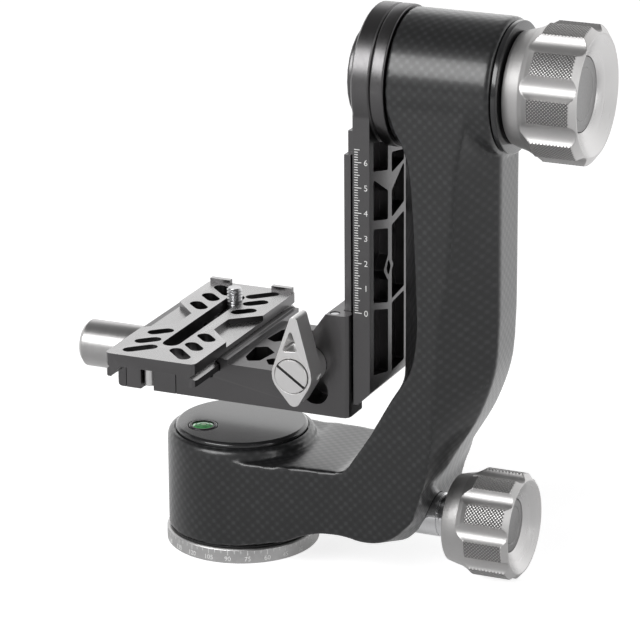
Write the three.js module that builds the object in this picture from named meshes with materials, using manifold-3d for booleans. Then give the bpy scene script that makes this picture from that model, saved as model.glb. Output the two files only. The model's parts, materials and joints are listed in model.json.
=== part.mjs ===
// A gimbal tripod head: a moulded carbon arm turns on a tripod base and carries a swing arm on a
// horizontal shaft. A bracket with a plate clamp slides up and down the swing arm.
// Millimetres, +Z up. X runs along the tilt shaft, -Y is the front, the origin is the pan axis
// at the underside of the base.

import * as THREE from "three";
import { mergeVertices } from "three/addons/utils/BufferGeometryUtils.js";
import Module from "manifold-3d";

const wasm = await Module();
wasm.setup();

// Fits and cutting
const seatGap = 0.3; // between pieces that touch or turn on each other
const cutOverrun = 2; // how far a cut passes the face that it opens
const weldDistance = 1e-4; // points closer than this are one point

// Round work: sides of circles and steps of an arc
const largeSides = 48;
const knobSides = 40;
const middleSides = 24;
const smallSides = 12;
const fluteSides = 20;
const cornerSteps = 3;
const capSteps = 6;

// Pan base and what stands on it
const baseRadius = 30.7;
const baseHeight = 6.2;
const baseEdge = 0.5;
const hubRadius = 12;
const hubHeight = 9.8;
const studRadius = 4.76; // 3/8 inch tripod stud
const insertWall = 2.3;
const insertDepth = 12.5;
const insertLip = 1.4;
const insertLipHeight = 1.2;
const washerHeight = 0.4;
const washerWidth = 8.3;
const washerInset = 1.4;
const spindleRadius = 8;
const spindleFlangeHeight = 2;
const spindleStubRadius = 5;
const spindleStubProud = 0.6;
const spindleNutRadius = 11;
const spindleNutHeight = 4.2;
const nutSides = 6;

// Drum of the arm, its cap and bubble level
const drumRadius = 29.8;
const drumHeight = 40.3;
const drumEdge = 0.8;
const drumShoulderWidth = 2.5;
const drumShoulderHeight = 4;
const capRadius = 26.6;
const capRise = 2;
const capThickness = 2.7;
const capEdge = 1;
const capGroove = 0.5; // open ring between the cap and the drum
const levelOffsetX = -12;
const levelOffsetY = -11;
const levelRadius = 5.8;
const levelRim = 1.3;
const levelPocket = 2.2;
const levelProud = 0.3;
const vialDome = 0.3;

// Bearings
const bearingHeight = 7;
const lowerBearingWall = 6.7;
const upperBearingWall = 5.7;
const upperBearingDrop = 9.5; // from the drum's top to the upper bearing
const shaftRoom = 0.9; // free room round a shaft between its bearings

// Arm
const armReach = 113.5; // from the pan axis to the outer band
const armHalfDepth = 26;
const bandHalfDepth = 9.5; // half width of the flat middle band
const armEdge = 0.8;
const linkHalfDepth = 29.6;
const linkReach = 50; // where the link's sides become parallel
const tiltHeight = 199.5; // tilt axis above the base

// Tilt housing, its shaft and cover
const housingStartShare = 0.6423; // of the arm's reach
const housingProud = 0.9; // past the outer band
const housingRadius = 26.5;
const housingEdge = 0.8;
const housingShoulderWidth = 1.2;
const housingShoulderLength = 2.6;
const tiltShaftRadius = 10;
const tiltBearingWall = 8.7;
const tiltBearingInset = 0.8;
const outerBearingDepth = 14.1; // from the housing's end to the outer bearing's far side
const flangeRadius = 27.3;
const flangeThickness = 5.4;
const coverRadius = 25.3;
const coverThickness = 2.1;
const brakeTravel = 0.6; // how far a brake moves as its knob is tightened
const brakePlateThickness = 2.4;
const brakePlateRadius = 18;
const brakeSleeveWall = 3;
const lockScrewRadius = 3.2;

// Pan lock
const panLockHeight = 22.5;
const panBrakeRadius = 3.6;
const panBrakeLength = 10.8;
const sleeveRadius = 8.75;
const sleeveInset = 43.2; // from the outer band back to the sleeve's inner end
const sleeveLength = 21.5;
const sleeveEdge = 0.6;
const sleeveGrooveDepth = 0.6;
const sleeveGrooveWidth = 1.2;
const sleeveGrooveInset = 3.6;

// Knobs
const tiltKnobRadius = 26.6;
const tiltKnobLength = 30.2;
const tiltFluteRadius = 5.8;
const tiltFluteDepth = 2.7;
const tiltFluteTurn = 2.8; // degrees from +Y to the first flute
const tiltFaceRadius = 14.2;
const tiltDishDepth = 5.6;
const panKnobRadius = 21.2;
const panKnobLength = 28.4;
const panFluteRadius = 4.5;
const panFluteDepth = 2.3;
const panFluteTurn = 12;
const panFaceRadius = 10.4;
const panDishDepth = 5;
const fluteCount = 9;
const knobCapThickness = 1.6;
const knobScrewReach = 17; // how far a lock screw goes into its knob

// Swing arm
const swingThickness = 7.7;
const swingHalfWidth = 24.6;
const swingDiscRadius = 27.3;
const swingDrop = 126.5; // from the tilt axis to the bottom of the swing arm
const swingWeb = 3.3; // what is left under the truss pockets
const swingStep = 0.8; // the truss stands this far behind the disc
const swingBottomChamfer = 5.2;
const trussEdgeReach = 12.3; // how far the full thickness reaches to the rear
const trussBottom = 5.5; // pattern of pockets: from the swing arm's bottom
const trussHeight = 100;
const tiltBoltRadius = 3;
const tiltBoltHeadRadius = 6;
const tiltBoltHeadHeight = 3;
const tiltBoltShare = 0.44; // of the shaft's length
const shaftScrewShare = 0.42; // of the shaft's length, for the lock screw

// Height rail
const railNeckWidth = 28;
const railNeckLength = 2;
const railHeadHalfWidth = 21;
const railTopHalfWidth = 17;
const railHeadThickness = 2.8;
const railShoulderDrop = 27.5; // from the tilt axis to the full width
const railDiscRadius = 18.8;
const railDiscThickness = 4.8;
const railDiscEdge = 0.8;
const railScrewRadius = 2;
const railScrewHeadRadius = 3.4;
const railScrewHeadHeight = 1.6;
const railScrewInset = 12;
const stopScrewRise = 16; // from the rail's bottom
const stopScrewHeadRadius = 2.2;
const stopScrewProud = 1.4;

// Bracket that slides on the rail, and its clamp
const bracketDrop = 5; // how far it reaches below the rail
const bracketHalfDepth = 28;
const legHeight = 41.5;
const legThickness = 10.3;
const legTopThickness = 4.7;
const legTopSlope = 7.9;
const legCorner = 3.2;
const legReliefStart = 14; // rear part of the leg's bottom that ends level with the rail
const lipThickness = 1.4;
const armHeight = 15.5; // horizontal arm of the bracket
const bracketReach = 15.2; // to the left of the pan axis
const pocketFloor = 3;
const gussetThickness = 5;
const gussetRun = 13;
const eyeRadius = 5.5;
const eyeOffset = 9.6; // from the rail's face
const eyeHeight = 9.7; // above the bracket's bottom
const eyeDepth = 12;
const faceStepDepth = 2.4;
const faceStepHeight = 9;
const faceStepReach = 1;
const clampFloorHeight = 12.2; // top of the clamp body above the bracket's bottom
const clampBodyLength = 21.4;
const clampRearReach = 40;
const jawThickness = 3.4;
const jawRise = 5.2;
const jawTravel = 4.5;
const jawCorner = 2.4;
const clampBoltHeight = 5.6;
const clampBoltRadius = 3;
const clampKnobRadius = 9.5;
const clampKnobLength = 27.6;
const clampKnobChamfer = 1.6;
const guidePinRadius = 1.8;
const guidePinOffset = 17;
const guidePinLength = 17;
const joinScrewRadius = 2;
const joinScrewOffset = 10;
const joinScrewLength = 20;
const setScrewRadius = 1.7;
const setScrewLength = 6;

// Height lock
const leverDrop = 20.6; // below the top of the bracket's leg
const leverOffset = 11.9; // from the rail's face to the lever's axis
const leverHubRadius = 8.3;
const leverTipRadius = 1.7;
const leverTipReach = 22.2;
const leverTailRadius = 2.7;
const leverTailReach = 9.6;
const leverThickness = 10;
const leverBossRadius = 7.4;
const leverStandOff = 6.7; // boss between the lever and the bracket
const leverRecess = 1.6;
const leverScrewRadius = 6.8;
const leverScrewHeight = 2;
const leverSlotWidth = 1.1;
const leverSlotDepth = 0.9;
const leverSlotAngle = -34.5;
const lockBoltRadius = 3;
const lockNutRadius = 6.4;
const lockNutHeight = 4;
const gibWidth = 3.2;
const gibTravel = 0.5;

// Safety pin
const pinOffset = 12.4; // from the clamp body's right end
const pinHeadRadius = 2.5;
const pinHeadLow = 1.2;
const pinHeadHeight = 7.6;
const pinStemRadius = 1.1;
const pinCollarRadius = 2;
const pinCollarHeight = 0.5;
const pinReach = 1.4; // above the clamp's floor
const pinSlotInset = 0.6;

// Sliding plate and camera screw
const plateLength = 96.6;
const plateWidth = 38.6;
const plateRest = -2.3; // the plate's middle along Y as it stands in the clamp
const plateCorner = 2.8;
const plateHeight = 9.5;
const plateTopHeight = 4;
const plateFootHeight = 2.5;
const notchDepth = 2;
const archRise = 4.6;
const archRun = 18;
const archSide = 2.6; // foot left at each side of the arch
const archSlope = 4.2;
const cameraSlotWidth = 7;
const cameraSlotFrontInset = 16.6; // from the plate's front to the slot's end
const cameraSlotRearInset = 16.5; // from the plate's rear to the centre of the slot's round end
const channelWidth = 13;
const channelDepth = 5.2;
const obliqueSlotWidth = 5.3;
const sideRecessDepth = 2.2;
const lipWidth = 8.9;
const lipDepth = 2.3;
const lipHeight = 2;
const lipInset = 0.4;
const lipSideInset = 1.1;
const pinGrooveDepth = 2.2;
const pinGrooveFront = 39.7;
const pinGrooveRear = 10.3;
const cameraScrewRadius = 3.175; // 1/4 inch
const cameraScrewProud = 5;
const cameraScrewTip = 0.6;
const cameraScrewHeadRadius = 5.4;
const cameraScrewHeadHeight = 2.6;
const cameraScrewInset = 1.5; // from the slot's rear centre to the screw at rest
const cameraScrewSlot = 1.2;
const retainerThickness = 1;
const retainerLength = 13;

// Heights worked out from the sizes above
const hubTop = baseHeight + hubHeight;
const drumBottom = baseHeight + washerHeight + 2 * seatGap;
const drumTop = drumBottom + drumHeight;
const capTop = drumTop + capRise;
const capBottom = capTop - capThickness;
const capSeat = capBottom - seatGap;
const spindleFlangeTop = hubTop + seatGap + spindleFlangeHeight;
const lowerBearingBottom = drumBottom + seatGap;
const lowerBearingTop = lowerBearingBottom + bearingHeight;
const upperBearingTop = drumTop - upperBearingDrop;
const upperBearingBottom = upperBearingTop - bearingHeight;
const lowerBearingRadius = hubRadius + seatGap + lowerBearingWall;
const upperBearingRadius = spindleRadius + seatGap + upperBearingWall;
const drumMiddleBore = hubRadius + shaftRoom;

// Stations along the tilt axis
const housingStart = armReach * housingStartShare;
const sleeveStart = armReach - sleeveInset;
const housingEnd = armReach + housingProud;
const flangeEnd = housingStart - seatGap;
const flangeStart = flangeEnd - flangeThickness;
const swingFace = flangeStart - seatGap;
const swingBack = swingFace - swingThickness;
const railNeckEnd = swingBack - seatGap;
const railHeadBack = railNeckEnd - railNeckLength;
const railFace = railHeadBack - railHeadThickness;
const tiltBearingRadius = tiltShaftRadius + seatGap + tiltBearingWall;
const innerBearingStart = housingStart + tiltBearingInset;
const innerBearingEnd = innerBearingStart + bearingHeight;
const outerBearingStart = housingEnd - outerBearingDepth;
const outerBearingEnd = outerBearingStart + bearingHeight;
const brakePlateStart = outerBearingEnd + seatGap + brakeTravel;
const brakePlateEnd = brakePlateStart + brakePlateThickness;
const coverStart = housingEnd + seatGap;
const coverEnd = coverStart + coverThickness;
const tiltKnobStart = coverEnd + seatGap + brakeTravel;
const tiltShaftStart = swingFace + seatGap;
const tiltShaftEnd = outerBearingEnd + seatGap / 2;
const tiltShaftLength = tiltShaftEnd - tiltShaftStart;
const shaftScrewReach = tiltShaftLength * shaftScrewShare;
const brakeSleeveRadius = lockScrewRadius + seatGap + brakeSleeveWall;

// Heights along the swing arm, the bracket and the clamp
const railBottom = tiltHeight - swingDrop;
const bracketBottom = railBottom - bracketDrop;
const legTop = bracketBottom + legHeight;
const bracketArmTop = bracketBottom + armHeight;
const clampFloor = bracketBottom + clampFloorHeight;
const plateBottom = clampFloor + seatGap;
const plateTop = plateBottom + plateHeight;
const legRight = railFace - seatGap;
const legLeft = legRight - legThickness;
const lipEnd = railHeadBack + seatGap + lipThickness;
const leverX = railFace - leverOffset;
const leverZ = legTop - leverDrop;
const clampBoltZ = bracketBottom + clampBoltHeight;
const clampRight = -bracketReach - seatGap;
const clampLeft = clampRight - clampBodyLength;
const jawRight = clampLeft - seatGap;
const jawLeft = jawRight - jawThickness;
const jawTop = clampFloor + jawRise;
const plateLeft = jawRight + seatGap + notchDepth;
const plateRight = plateLeft + plateWidth;
const plateMiddle = (plateLeft + plateRight) / 2;
const pinX = clampRight - pinOffset;
const cameraSlotFront = plateLength / 2 - cameraSlotFrontInset;
const cameraSlotRear = plateLength / 2 - cameraSlotRearInset;
const cameraScrewRest = plateRest + cameraSlotRear - cameraScrewInset;

// Directions for round work and prisms
const upZ = new THREE.Matrix4().makeRotationX(Math.PI / 2);
const alongX = new THREE.Matrix4().makeRotationY(Math.PI / 2).multiply(upZ);
const alongY = new THREE.Matrix4().makeRotationX(-Math.PI / 2).multiply(upZ);
const turnAxes = { x: alongX, y: alongY, z: upZ };
const ex = new THREE.Vector3(1, 0, 0);
const ey = new THREE.Vector3(0, 1, 0);
const ez = new THREE.Vector3(0, 0, 1);
const prismAxes = {
  xy: new THREE.Matrix4(),
  xz: new THREE.Matrix4().makeBasis(ex, ez, ey.clone().negate()),
  yz: new THREE.Matrix4().makeBasis(ey, ez, ex),
};

// A closed solid for cutting and joining, with its faces pointing out
function solidOf(geometry) {
  const plain = geometry.clone();
  plain.deleteAttribute("normal");
  plain.deleteAttribute("uv");
  const merged = mergeVertices(plain, weldDistance);
  const place = merged.attributes.position;
  const triangles = [];
  let volume = 0;
  const a = new THREE.Vector3();
  const b = new THREE.Vector3();
  const c = new THREE.Vector3();
  for (let i = 0; i < merged.index.count; i += 3) {
    const corners = [0, 1, 2].map((k) => merged.index.getX(i + k));
    if (new Set(corners).size < corners.length) continue;
    triangles.push(corners);
    [a, b, c].forEach((point, k) => point.fromBufferAttribute(place, corners[k]));
    volume += a.dot(b.cross(c));
  }
  const outward = volume < 0 ? triangles.map(([i, j, k]) => [i, k, j]) : triangles;
  return new wasm.Manifold(
    new wasm.Mesh({
      numProp: 3,
      vertProperties: Float32Array.from(place.array),
      triVerts: Uint32Array.from(outward.flat()),
    }),
  );
}

function geometryOf(solid) {
  const mesh = solid.getMesh();
  const geometry = new THREE.BufferGeometry();
  geometry.setAttribute("position", new THREE.BufferAttribute(mesh.vertProperties, 3));
  geometry.setIndex(new THREE.BufferAttribute(mesh.triVerts, 1));
  return geometry;
}

function joined(...geometries) {
  return geometryOf(geometries.map(solidOf).reduce((sum, next) => sum.add(next)));
}

function cut(geometry, ...tools) {
  return geometryOf(tools.map(solidOf).reduce((left, tool) => left.subtract(tool), solidOf(geometry)));
}

function common(first, second) {
  return geometryOf(solidOf(first).intersect(solidOf(second)));
}

// A revolved profile of [radius, place along the axis] points
function turned(axis, profile, sides) {
  const points = profile.map(([radius, along]) => new THREE.Vector2(radius, along));
  return new THREE.LatheGeometry(points, sides).applyMatrix4(turnAxes[axis]);
}

function rod(axis, radius, from, to, sides, edge = 0) {
  return turned(
    axis,
    [
      [0, from],
      [radius - edge, from],
      [radius, from + edge],
      [radius, to - edge],
      [radius - edge, to],
      [0, to],
    ],
    sides,
  );
}

function tube(axis, inner, outer, from, to, sides, edge = 0) {
  return turned(
    axis,
    [
      [inner, from],
      [outer - edge, from],
      [outer, from + edge],
      [outer, to - edge],
      [outer - edge, to],
      [inner, to],
      [inner, from],
    ],
    sides,
  );
}

// Points of a soft corner on a revolved profile, from its full radius to its end face
function softCorner(radius, end, width, length) {
  return Array.from({ length: cornerSteps + 1 }, (_, i) => {
    const angle = ((Math.PI / 2) * i) / cornerSteps;
    return [radius - width * (1 - Math.cos(angle)), end - length * (1 - Math.sin(angle))];
  });
}

function outlineOf(points) {
  return points.map(([u, v]) => new THREE.Vector2(u, v));
}

// A flat outline in one plane, carried from one place to another along the plane's normal
function prism(plane, outline, from, to, holes = []) {
  const shape = new THREE.Shape(outlineOf(outline));
  shape.holes = holes.map((hole) => new THREE.Path(outlineOf(hole)));
  const geometry = new THREE.ExtrudeGeometry(shape, { depth: to - from, bevelEnabled: false });
  geometry.translate(0, 0, plane === "xz" ? -to : from);
  return geometry.applyMatrix4(prismAxes[plane]);
}

function block(x0, x1, y0, y1, z0, z1) {
  return prism("xy", [[x0, y0], [x1, y0], [x1, y1], [x0, y1]], z0, z1);
}

function moved(geometry, x, y, z) {
  return geometry.clone().translate(x, y, z);
}

// An outline with its corners rounded to a radius, or to a radius of each corner's own
function rounded(points, radius) {
  const at = (i) => new THREE.Vector2(...points[(i + points.length) % points.length]);
  return points.flatMap((point, i) => {
    const size = Array.isArray(radius) ? radius[i] : radius;
    if (size === 0) return [point];
    const corner = at(i);
    const before = at(i - 1).sub(corner);
    const after = at(i + 1).sub(corner);
    const half = before.angleTo(after) / 2;
    const reach = Math.min(size / Math.tan(half), before.length() / 2, after.length() / 2);
    const start = corner.clone().add(before.setLength(reach));
    const end = corner.clone().add(after.setLength(reach));
    const arc = new THREE.QuadraticBezierCurve(start, corner, end);
    return arc.getPoints(cornerSteps).map((p) => [p.x, p.y]);
  });
}

// A slot with round ends between two points
function stadium(x0, y0, x1, y1, width) {
  const heading = Math.atan2(y1 - y0, x1 - x0);
  const ends = [[x1, y1, heading - Math.PI / 2], [x0, y0, heading + Math.PI / 2]];
  return ends.flatMap(([x, y, start]) =>
    Array.from({ length: capSteps + 1 }, (_, i) => {
      const angle = start + (Math.PI * i) / capSteps;
      return [x + (Math.cos(angle) * width) / 2, y + (Math.sin(angle) * width) / 2];
    }),
  );
}

// The outline that wraps a set of circles [x, y, radius]
function wrapped(circles, steps) {
  const cloud = circles.flatMap(([x, y, radius]) =>
    Array.from({ length: steps }, (_, i) => {
      const angle = (2 * Math.PI * i) / steps;
      return [x + Math.cos(angle) * radius, y + Math.sin(angle) * radius];
    }),
  );
  cloud.sort((p, q) => p[0] - q[0] || p[1] - q[1]);
  const turn = (o, p, q) => (p[0] - o[0]) * (q[1] - o[1]) - (p[1] - o[1]) * (q[0] - o[0]);
  const chain = (points) => {
    const kept = [];
    for (const point of points) {
      while (kept.length > 1 && turn(kept.at(-2), kept.at(-1), point) <= 0) kept.pop();
      kept.push(point);
    }
    return kept.slice(0, -1);
  };
  return [...chain(cloud), ...chain([...cloud].reverse())];
}

function mirrored(points) {
  return points.map(([u, v]) => [u, -v]).reverse();
}

// Finishes
const finishes = {
  carbon: { color: 0x3a3b3d, metalness: 0.1, roughness: 0.45 },
  blackMetal: { color: 0x1d1d1f, metalness: 0.6, roughness: 0.4 },
  darkMetal: { color: 0x3c3d42, metalness: 0.7, roughness: 0.45 },
  silver: { color: 0xc9c6c4, metalness: 0.9, roughness: 0.35 },
  chrome: { color: 0xe6e6e6, metalness: 1, roughness: 0.08 },
  steel: { color: 0x9a9c9f, metalness: 0.9, roughness: 0.3 },
  blackPlastic: { color: 0x161618, metalness: 0, roughness: 0.5 },
  brass: { color: 0xb08d4a, metalness: 0.9, roughness: 0.35 },
  glass: { color: 0x53b848, metalness: 0, roughness: 0.1, transparent: true, opacity: 0.7 },
};
const materials = Object.fromEntries(
  Object.entries(finishes).map(([name, look]) => [
    name,
    new THREE.MeshStandardMaterial({ ...look, name, flatShading: true }),
  ]),
);

const head = new THREE.Group();

function part(name, material, geometry, x = 0, y = 0, z = 0) {
  const mesh = new THREE.Mesh(geometryOf(solidOf(geometry)), materials[material]);
  mesh.name = name;
  mesh.position.set(x, y, z);
  head.add(mesh);
}

// Base, tripod bush, glide washer and spindle
function addBase() {
  const bushRadius = studRadius + insertWall;
  const bushSeat = insertDepth + seatGap;
  const bushBore = bushRadius + seatGap;
  const lipRadius = bushRadius + insertLip;
  const lipSeat = insertLipHeight + seatGap;
  part(
    "pan_base",
    "silver",
    turned(
      "z",
      [
        [lipRadius + seatGap, 0],
        [baseRadius - baseEdge, 0],
        [baseRadius, baseEdge],
        [baseRadius, baseHeight - baseEdge],
        [baseRadius - baseEdge, baseHeight],
        [hubRadius, baseHeight],
        [hubRadius, hubTop],
        [0, hubTop],
        [0, bushSeat],
        [bushBore, bushSeat],
        [bushBore, lipSeat],
        [lipRadius + seatGap, lipSeat],
        [lipRadius + seatGap, 0],
      ],
      largeSides,
    ),
  );
  part(
    "tripod_bush",
    "steel",
    turned(
      "z",
      [
        [studRadius, 0],
        [lipRadius, 0],
        [lipRadius, insertLipHeight],
        [bushRadius, insertLipHeight],
        [bushRadius, insertDepth],
        [studRadius, insertDepth],
        [studRadius, 0],
      ],
      middleSides,
    ),
  );
  const washerOuter = baseRadius - washerInset;
  const washerBottom = baseHeight + seatGap;
  part(
    "glide_washer",
    "blackPlastic",
    tube("z", washerOuter - washerWidth, washerOuter, washerBottom, washerBottom + washerHeight, largeSides),
  );
  const nutTop = upperBearingTop + seatGap + spindleNutHeight;
  part(
    "pan_spindle",
    "steel",
    turned(
      "z",
      [
        [0, hubTop + seatGap],
        [hubRadius, hubTop + seatGap],
        [hubRadius, spindleFlangeTop],
        [spindleRadius, spindleFlangeTop],
        [spindleRadius, upperBearingTop],
        [spindleStubRadius, upperBearingTop],
        [spindleStubRadius, nutTop + spindleStubProud],
        [0, nutTop + spindleStubProud],
      ],
      middleSides,
    ),
  );
  part(
    "spindle_nut",
    "steel",
    cut(
      rod("z", spindleNutRadius, nutTop - spindleNutHeight, nutTop, nutSides),
      rod(
        "z",
        spindleStubRadius + seatGap,
        nutTop - spindleNutHeight - cutOverrun,
        nutTop + cutOverrun,
        middleSides,
      ),
    ),
  );
}

// Pan bearings, cap and bubble level, carried by the arm
function addDrumFittings() {
  part(
    "pan_bearing_lower",
    "steel",
    tube("z", hubRadius + seatGap, lowerBearingRadius, lowerBearingBottom, lowerBearingTop, middleSides),
  );
  part(
    "pan_bearing_upper",
    "steel",
    tube("z", spindleRadius + seatGap, upperBearingRadius, upperBearingBottom, upperBearingTop, middleSides),
  );
  const pocketFloorZ = capTop - levelPocket;
  part(
    "pan_cap",
    "blackMetal",
    cut(
      turned(
        "z",
        [
          [0, capBottom],
          [capRadius, capBottom],
          [capRadius, capTop - capEdge],
          [capRadius - capEdge, capTop],
          [0, capTop],
        ],
        largeSides,
      ),
      moved(
        rod("z", levelRadius + seatGap, pocketFloorZ, capTop + cutOverrun, middleSides),
        levelOffsetX,
        levelOffsetY,
        0,
      ),
    ),
  );
  const ringBottom = pocketFloorZ + seatGap;
  part(
    "level_ring",
    "blackMetal",
    tube(
      "z",
      levelRadius - levelRim,
      levelRadius,
      ringBottom,
      capTop + levelProud,
      middleSides,
      levelRim / 4,
    ),
    levelOffsetX,
    levelOffsetY,
  );
  const vialRadius = levelRadius - levelRim - seatGap;
  part(
    "level_vial",
    "glass",
    turned(
      "z",
      [
        [0, ringBottom],
        [vialRadius, ringBottom],
        [vialRadius, capTop],
        [vialRadius / 2, capTop + vialDome],
        [0, capTop + vialDome],
      ],
      middleSides,
    ),
    levelOffsetX,
    levelOffsetY,
  );
}

// Outlines of the arm in the XZ plane, as shares of the arm's reach and of the tilt axis's height.
// The facet is the flat front and back face, the band is the middle of the section.
const facetInnerShares = [
  [0.66, 1], [0.664, 0.94], [0.704, 0.896], [0.73, 0.845], [0.746, 0.74], [0.757, 0.6], [0.758, 0.52],
  [0.738, 0.456], [0.699, 0.417], [0.662, 0.385], [0.588, 0.311], [0.52, 0.25],
];
const bandInnerShares = [
  [0.66, 1], [0.66, 0.94], [0.658, 0.896], [0.657, 0.845], [0.657, 0.74], [0.657, 0.6], [0.657, 0.52],
  [0.657, 0.45], [0.655, 0.405], [0.645, 0.375], [0.588, 0.311], [0.52, 0.25],
];
const saddleShares = [
  [0.5, 0.232], [0.47, 0.222], [0.42, 0.22], [0.32, 0.22], [0.26, 0.2185], [0.225, 0.2165], [0.04, 0.2165],
];
const facetOuterShares = [
  [0.725, 0.131], [0.742, 0.143], [0.76, 0.18], [0.782, 0.216], [0.798, 0.262], [0.81, 0.33], [0.82, 0.4],
  [0.835, 0.545], [0.86, 0.627], [0.877, 0.747], [0.894, 0.865], [0.921, 0.944], [0.936, 1],
];
const bandOuterShares = [
  [0.727, 0.115], [0.742, 0.143], [0.76, 0.18], [0.795, 0.216], [0.85, 0.27], [0.93, 0.35], [0.984, 0.44],
  [0.998, 0.53], [1, 0.6], [1, 0.7], [1, 0.865], [1, 0.944], [1, 1],
];
const facetUnderShares = [
  [0.04, 0.037], [0.2, 0.038], [0.26, 0.048], [0.3, 0.065], [0.34, 0.078], [0.4, 0.087], [0.48, 0.089],
  [0.55, 0.083], [0.61, 0.086], [0.66, 0.098], [0.7, 0.116],
];
const bandUnderShares = [
  [0.04, 0.037], [0.2, 0.038], [0.26, 0.045], [0.3, 0.056], [0.34, 0.063], [0.4, 0.069], [0.48, 0.068],
  [0.55, 0.062], [0.62, 0.0625], [0.665, 0.07], [0.702, 0.09],
];
const armSteps = { inner: 20, saddle: 7, under: 13, outer: 18 };

// Points on smooth curves through the shares, all the way round one outline
function armOutline(inner, outer, under) {
  const smooth = (shares, steps) => new THREE.SplineCurve(outlineOf(shares)).getPoints(steps);
  return [
    ...smooth(inner, armSteps.inner),
    ...smooth(saddleShares, armSteps.saddle),
    ...smooth(under, armSteps.under),
    ...smooth(outer, armSteps.outer),
  ].map((p) => [p.x * armReach, p.y * tiltHeight]);
}

// The same outline drawn in by a distance, for a soft edge
function insetOutline(points, distance) {
  return points.map(([x, z], i) => {
    const before = points[(i + points.length - 1) % points.length];
    const after = points[(i + 1) % points.length];
    const run = new THREE.Vector2(after[0] - before[0], after[1] - before[1]).normalize();
    return [x - run.y * distance, z + run.x * distance];
  });
}

// A closed skin through outlines of equally many points, each at its own depth
function loft(sections) {
  const count = sections[0].outline.length;
  const places = sections.flatMap(({ y, outline }) => outline.map(([x, z]) => [x, y, z]));
  const index = [];
  for (let s = 0; s + 1 < sections.length; s += 1) {
    for (let i = 0; i < count; i += 1) {
      const a = s * count + i;
      const b = s * count + ((i + 1) % count);
      index.push(a, b, a + count, b, b + count, a + count);
    }
  }
  const face = THREE.ShapeUtils.triangulateShape(outlineOf(sections[0].outline), []);
  const last = (sections.length - 1) * count;
  for (const [a, b, c] of face) index.push(a, c, b);
  const back = THREE.ShapeUtils.triangulateShape(outlineOf(sections.at(-1).outline), []);
  for (const [a, b, c] of back) index.push(a + last, b + last, c + last);
  const geometry = new THREE.BufferGeometry();
  geometry.setAttribute("position", new THREE.Float32BufferAttribute(places.flat(), 3));
  geometry.setIndex(index);
  return geometry;
}

// The moulded shell: an eight-sided arm with a drum below and a cross tube on top
function addArm() {
  const facet = armOutline(facetInnerShares, facetOuterShares, facetUnderShares);
  const band = armOutline(bandInnerShares, bandOuterShares, bandUnderShares);
  const face = insetOutline(facet, armEdge);
  const arm = loft([
    { y: -armHalfDepth, outline: face },
    { y: -armHalfDepth + armEdge, outline: facet },
    { y: -bandHalfDepth, outline: band },
    { y: bandHalfDepth, outline: band },
    { y: armHalfDepth - armEdge, outline: facet },
    { y: armHalfDepth, outline: face },
  ]);
  const linkOutline = facet.filter(([x, z]) => x <= linkReach && z < tiltHeight / 2);
  const linkPlan = [
    [0, -linkHalfDepth],
    [linkReach, -armHalfDepth],
    [linkReach, armHalfDepth],
    [0, linkHalfDepth],
  ];
  const link = common(
    prism("xz", linkOutline, -linkHalfDepth - cutOverrun, linkHalfDepth + cutOverrun),
    prism("xy", linkPlan, 0, drumTop),
  );
  const drum = turned(
    "z",
    [
      [0, drumBottom],
      [drumRadius - drumEdge, drumBottom],
      [drumRadius, drumBottom + drumEdge],
      ...softCorner(drumRadius, drumTop, drumShoulderWidth, drumShoulderHeight),
      [0, drumTop],
    ],
    largeSides,
  );
  const housing = moved(
    turned(
      "x",
      [
        [0, housingStart],
        [housingRadius - housingEdge, housingStart],
        [housingRadius, housingStart + housingEdge],
        ...softCorner(housingRadius, housingEnd, housingShoulderWidth, housingShoulderLength),
        [0, housingEnd],
      ],
      largeSides,
    ),
    0,
    0,
    tiltHeight,
  );
  const drumBores = [
    rod("z", lowerBearingRadius + seatGap, drumBottom - cutOverrun, lowerBearingTop + seatGap, middleSides),
    rod("z", drumMiddleBore, drumBottom, drumTop, middleSides),
    rod("z", upperBearingRadius + seatGap, upperBearingBottom - seatGap, drumTop, middleSides),
    rod("z", capRadius + capGroove, capSeat, drumTop + cutOverrun, largeSides),
  ];
  const lockBore = panBrakeRadius + seatGap;
  const lockBores = [
    rod("x", lockBore, spindleRadius, sleeveStart, smallSides),
    rod("x", sleeveRadius + seatGap, sleeveStart - seatGap, armReach, middleSides),
  ].map((bore) => moved(bore, 0, 0, panLockHeight));
  const tiltBores = [
    rod("x", tiltBearingRadius + seatGap, housingStart - cutOverrun, innerBearingEnd + seatGap, middleSides),
    rod("x", tiltShaftRadius + shaftRoom, housingStart, housingEnd, middleSides),
    rod("x", tiltBearingRadius + seatGap, outerBearingStart - seatGap, housingEnd + cutOverrun, middleSides),
  ].map((bore) => moved(bore, 0, 0, tiltHeight));
  part(
    "arm_shell",
    "carbon",
    cut(joined(arm, link, drum, housing), ...drumBores, ...lockBores, ...tiltBores),
  );
}

// Flange, bearings and cover that the arm holds on the tilt axis
function addTiltFittings() {
  part(
    "tilt_flange",
    "blackMetal",
    tube("x", tiltShaftRadius + seatGap, flangeRadius, flangeStart, flangeEnd, largeSides, drumEdge),
    0,
    0,
    tiltHeight,
  );
  const bearing = (start) =>
    tube("x", tiltShaftRadius + seatGap, tiltBearingRadius, start, start + bearingHeight, middleSides);
  part("tilt_bearing_inner", "steel", bearing(innerBearingStart), 0, 0, tiltHeight);
  part("tilt_bearing_outer", "steel", bearing(outerBearingStart), 0, 0, tiltHeight);
  part(
    "tilt_cover",
    "blackMetal",
    tube("x", brakeSleeveRadius + seatGap, coverRadius, coverStart, coverEnd, largeSides, drumEdge / 2),
    0,
    0,
    tiltHeight,
  );
}

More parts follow.
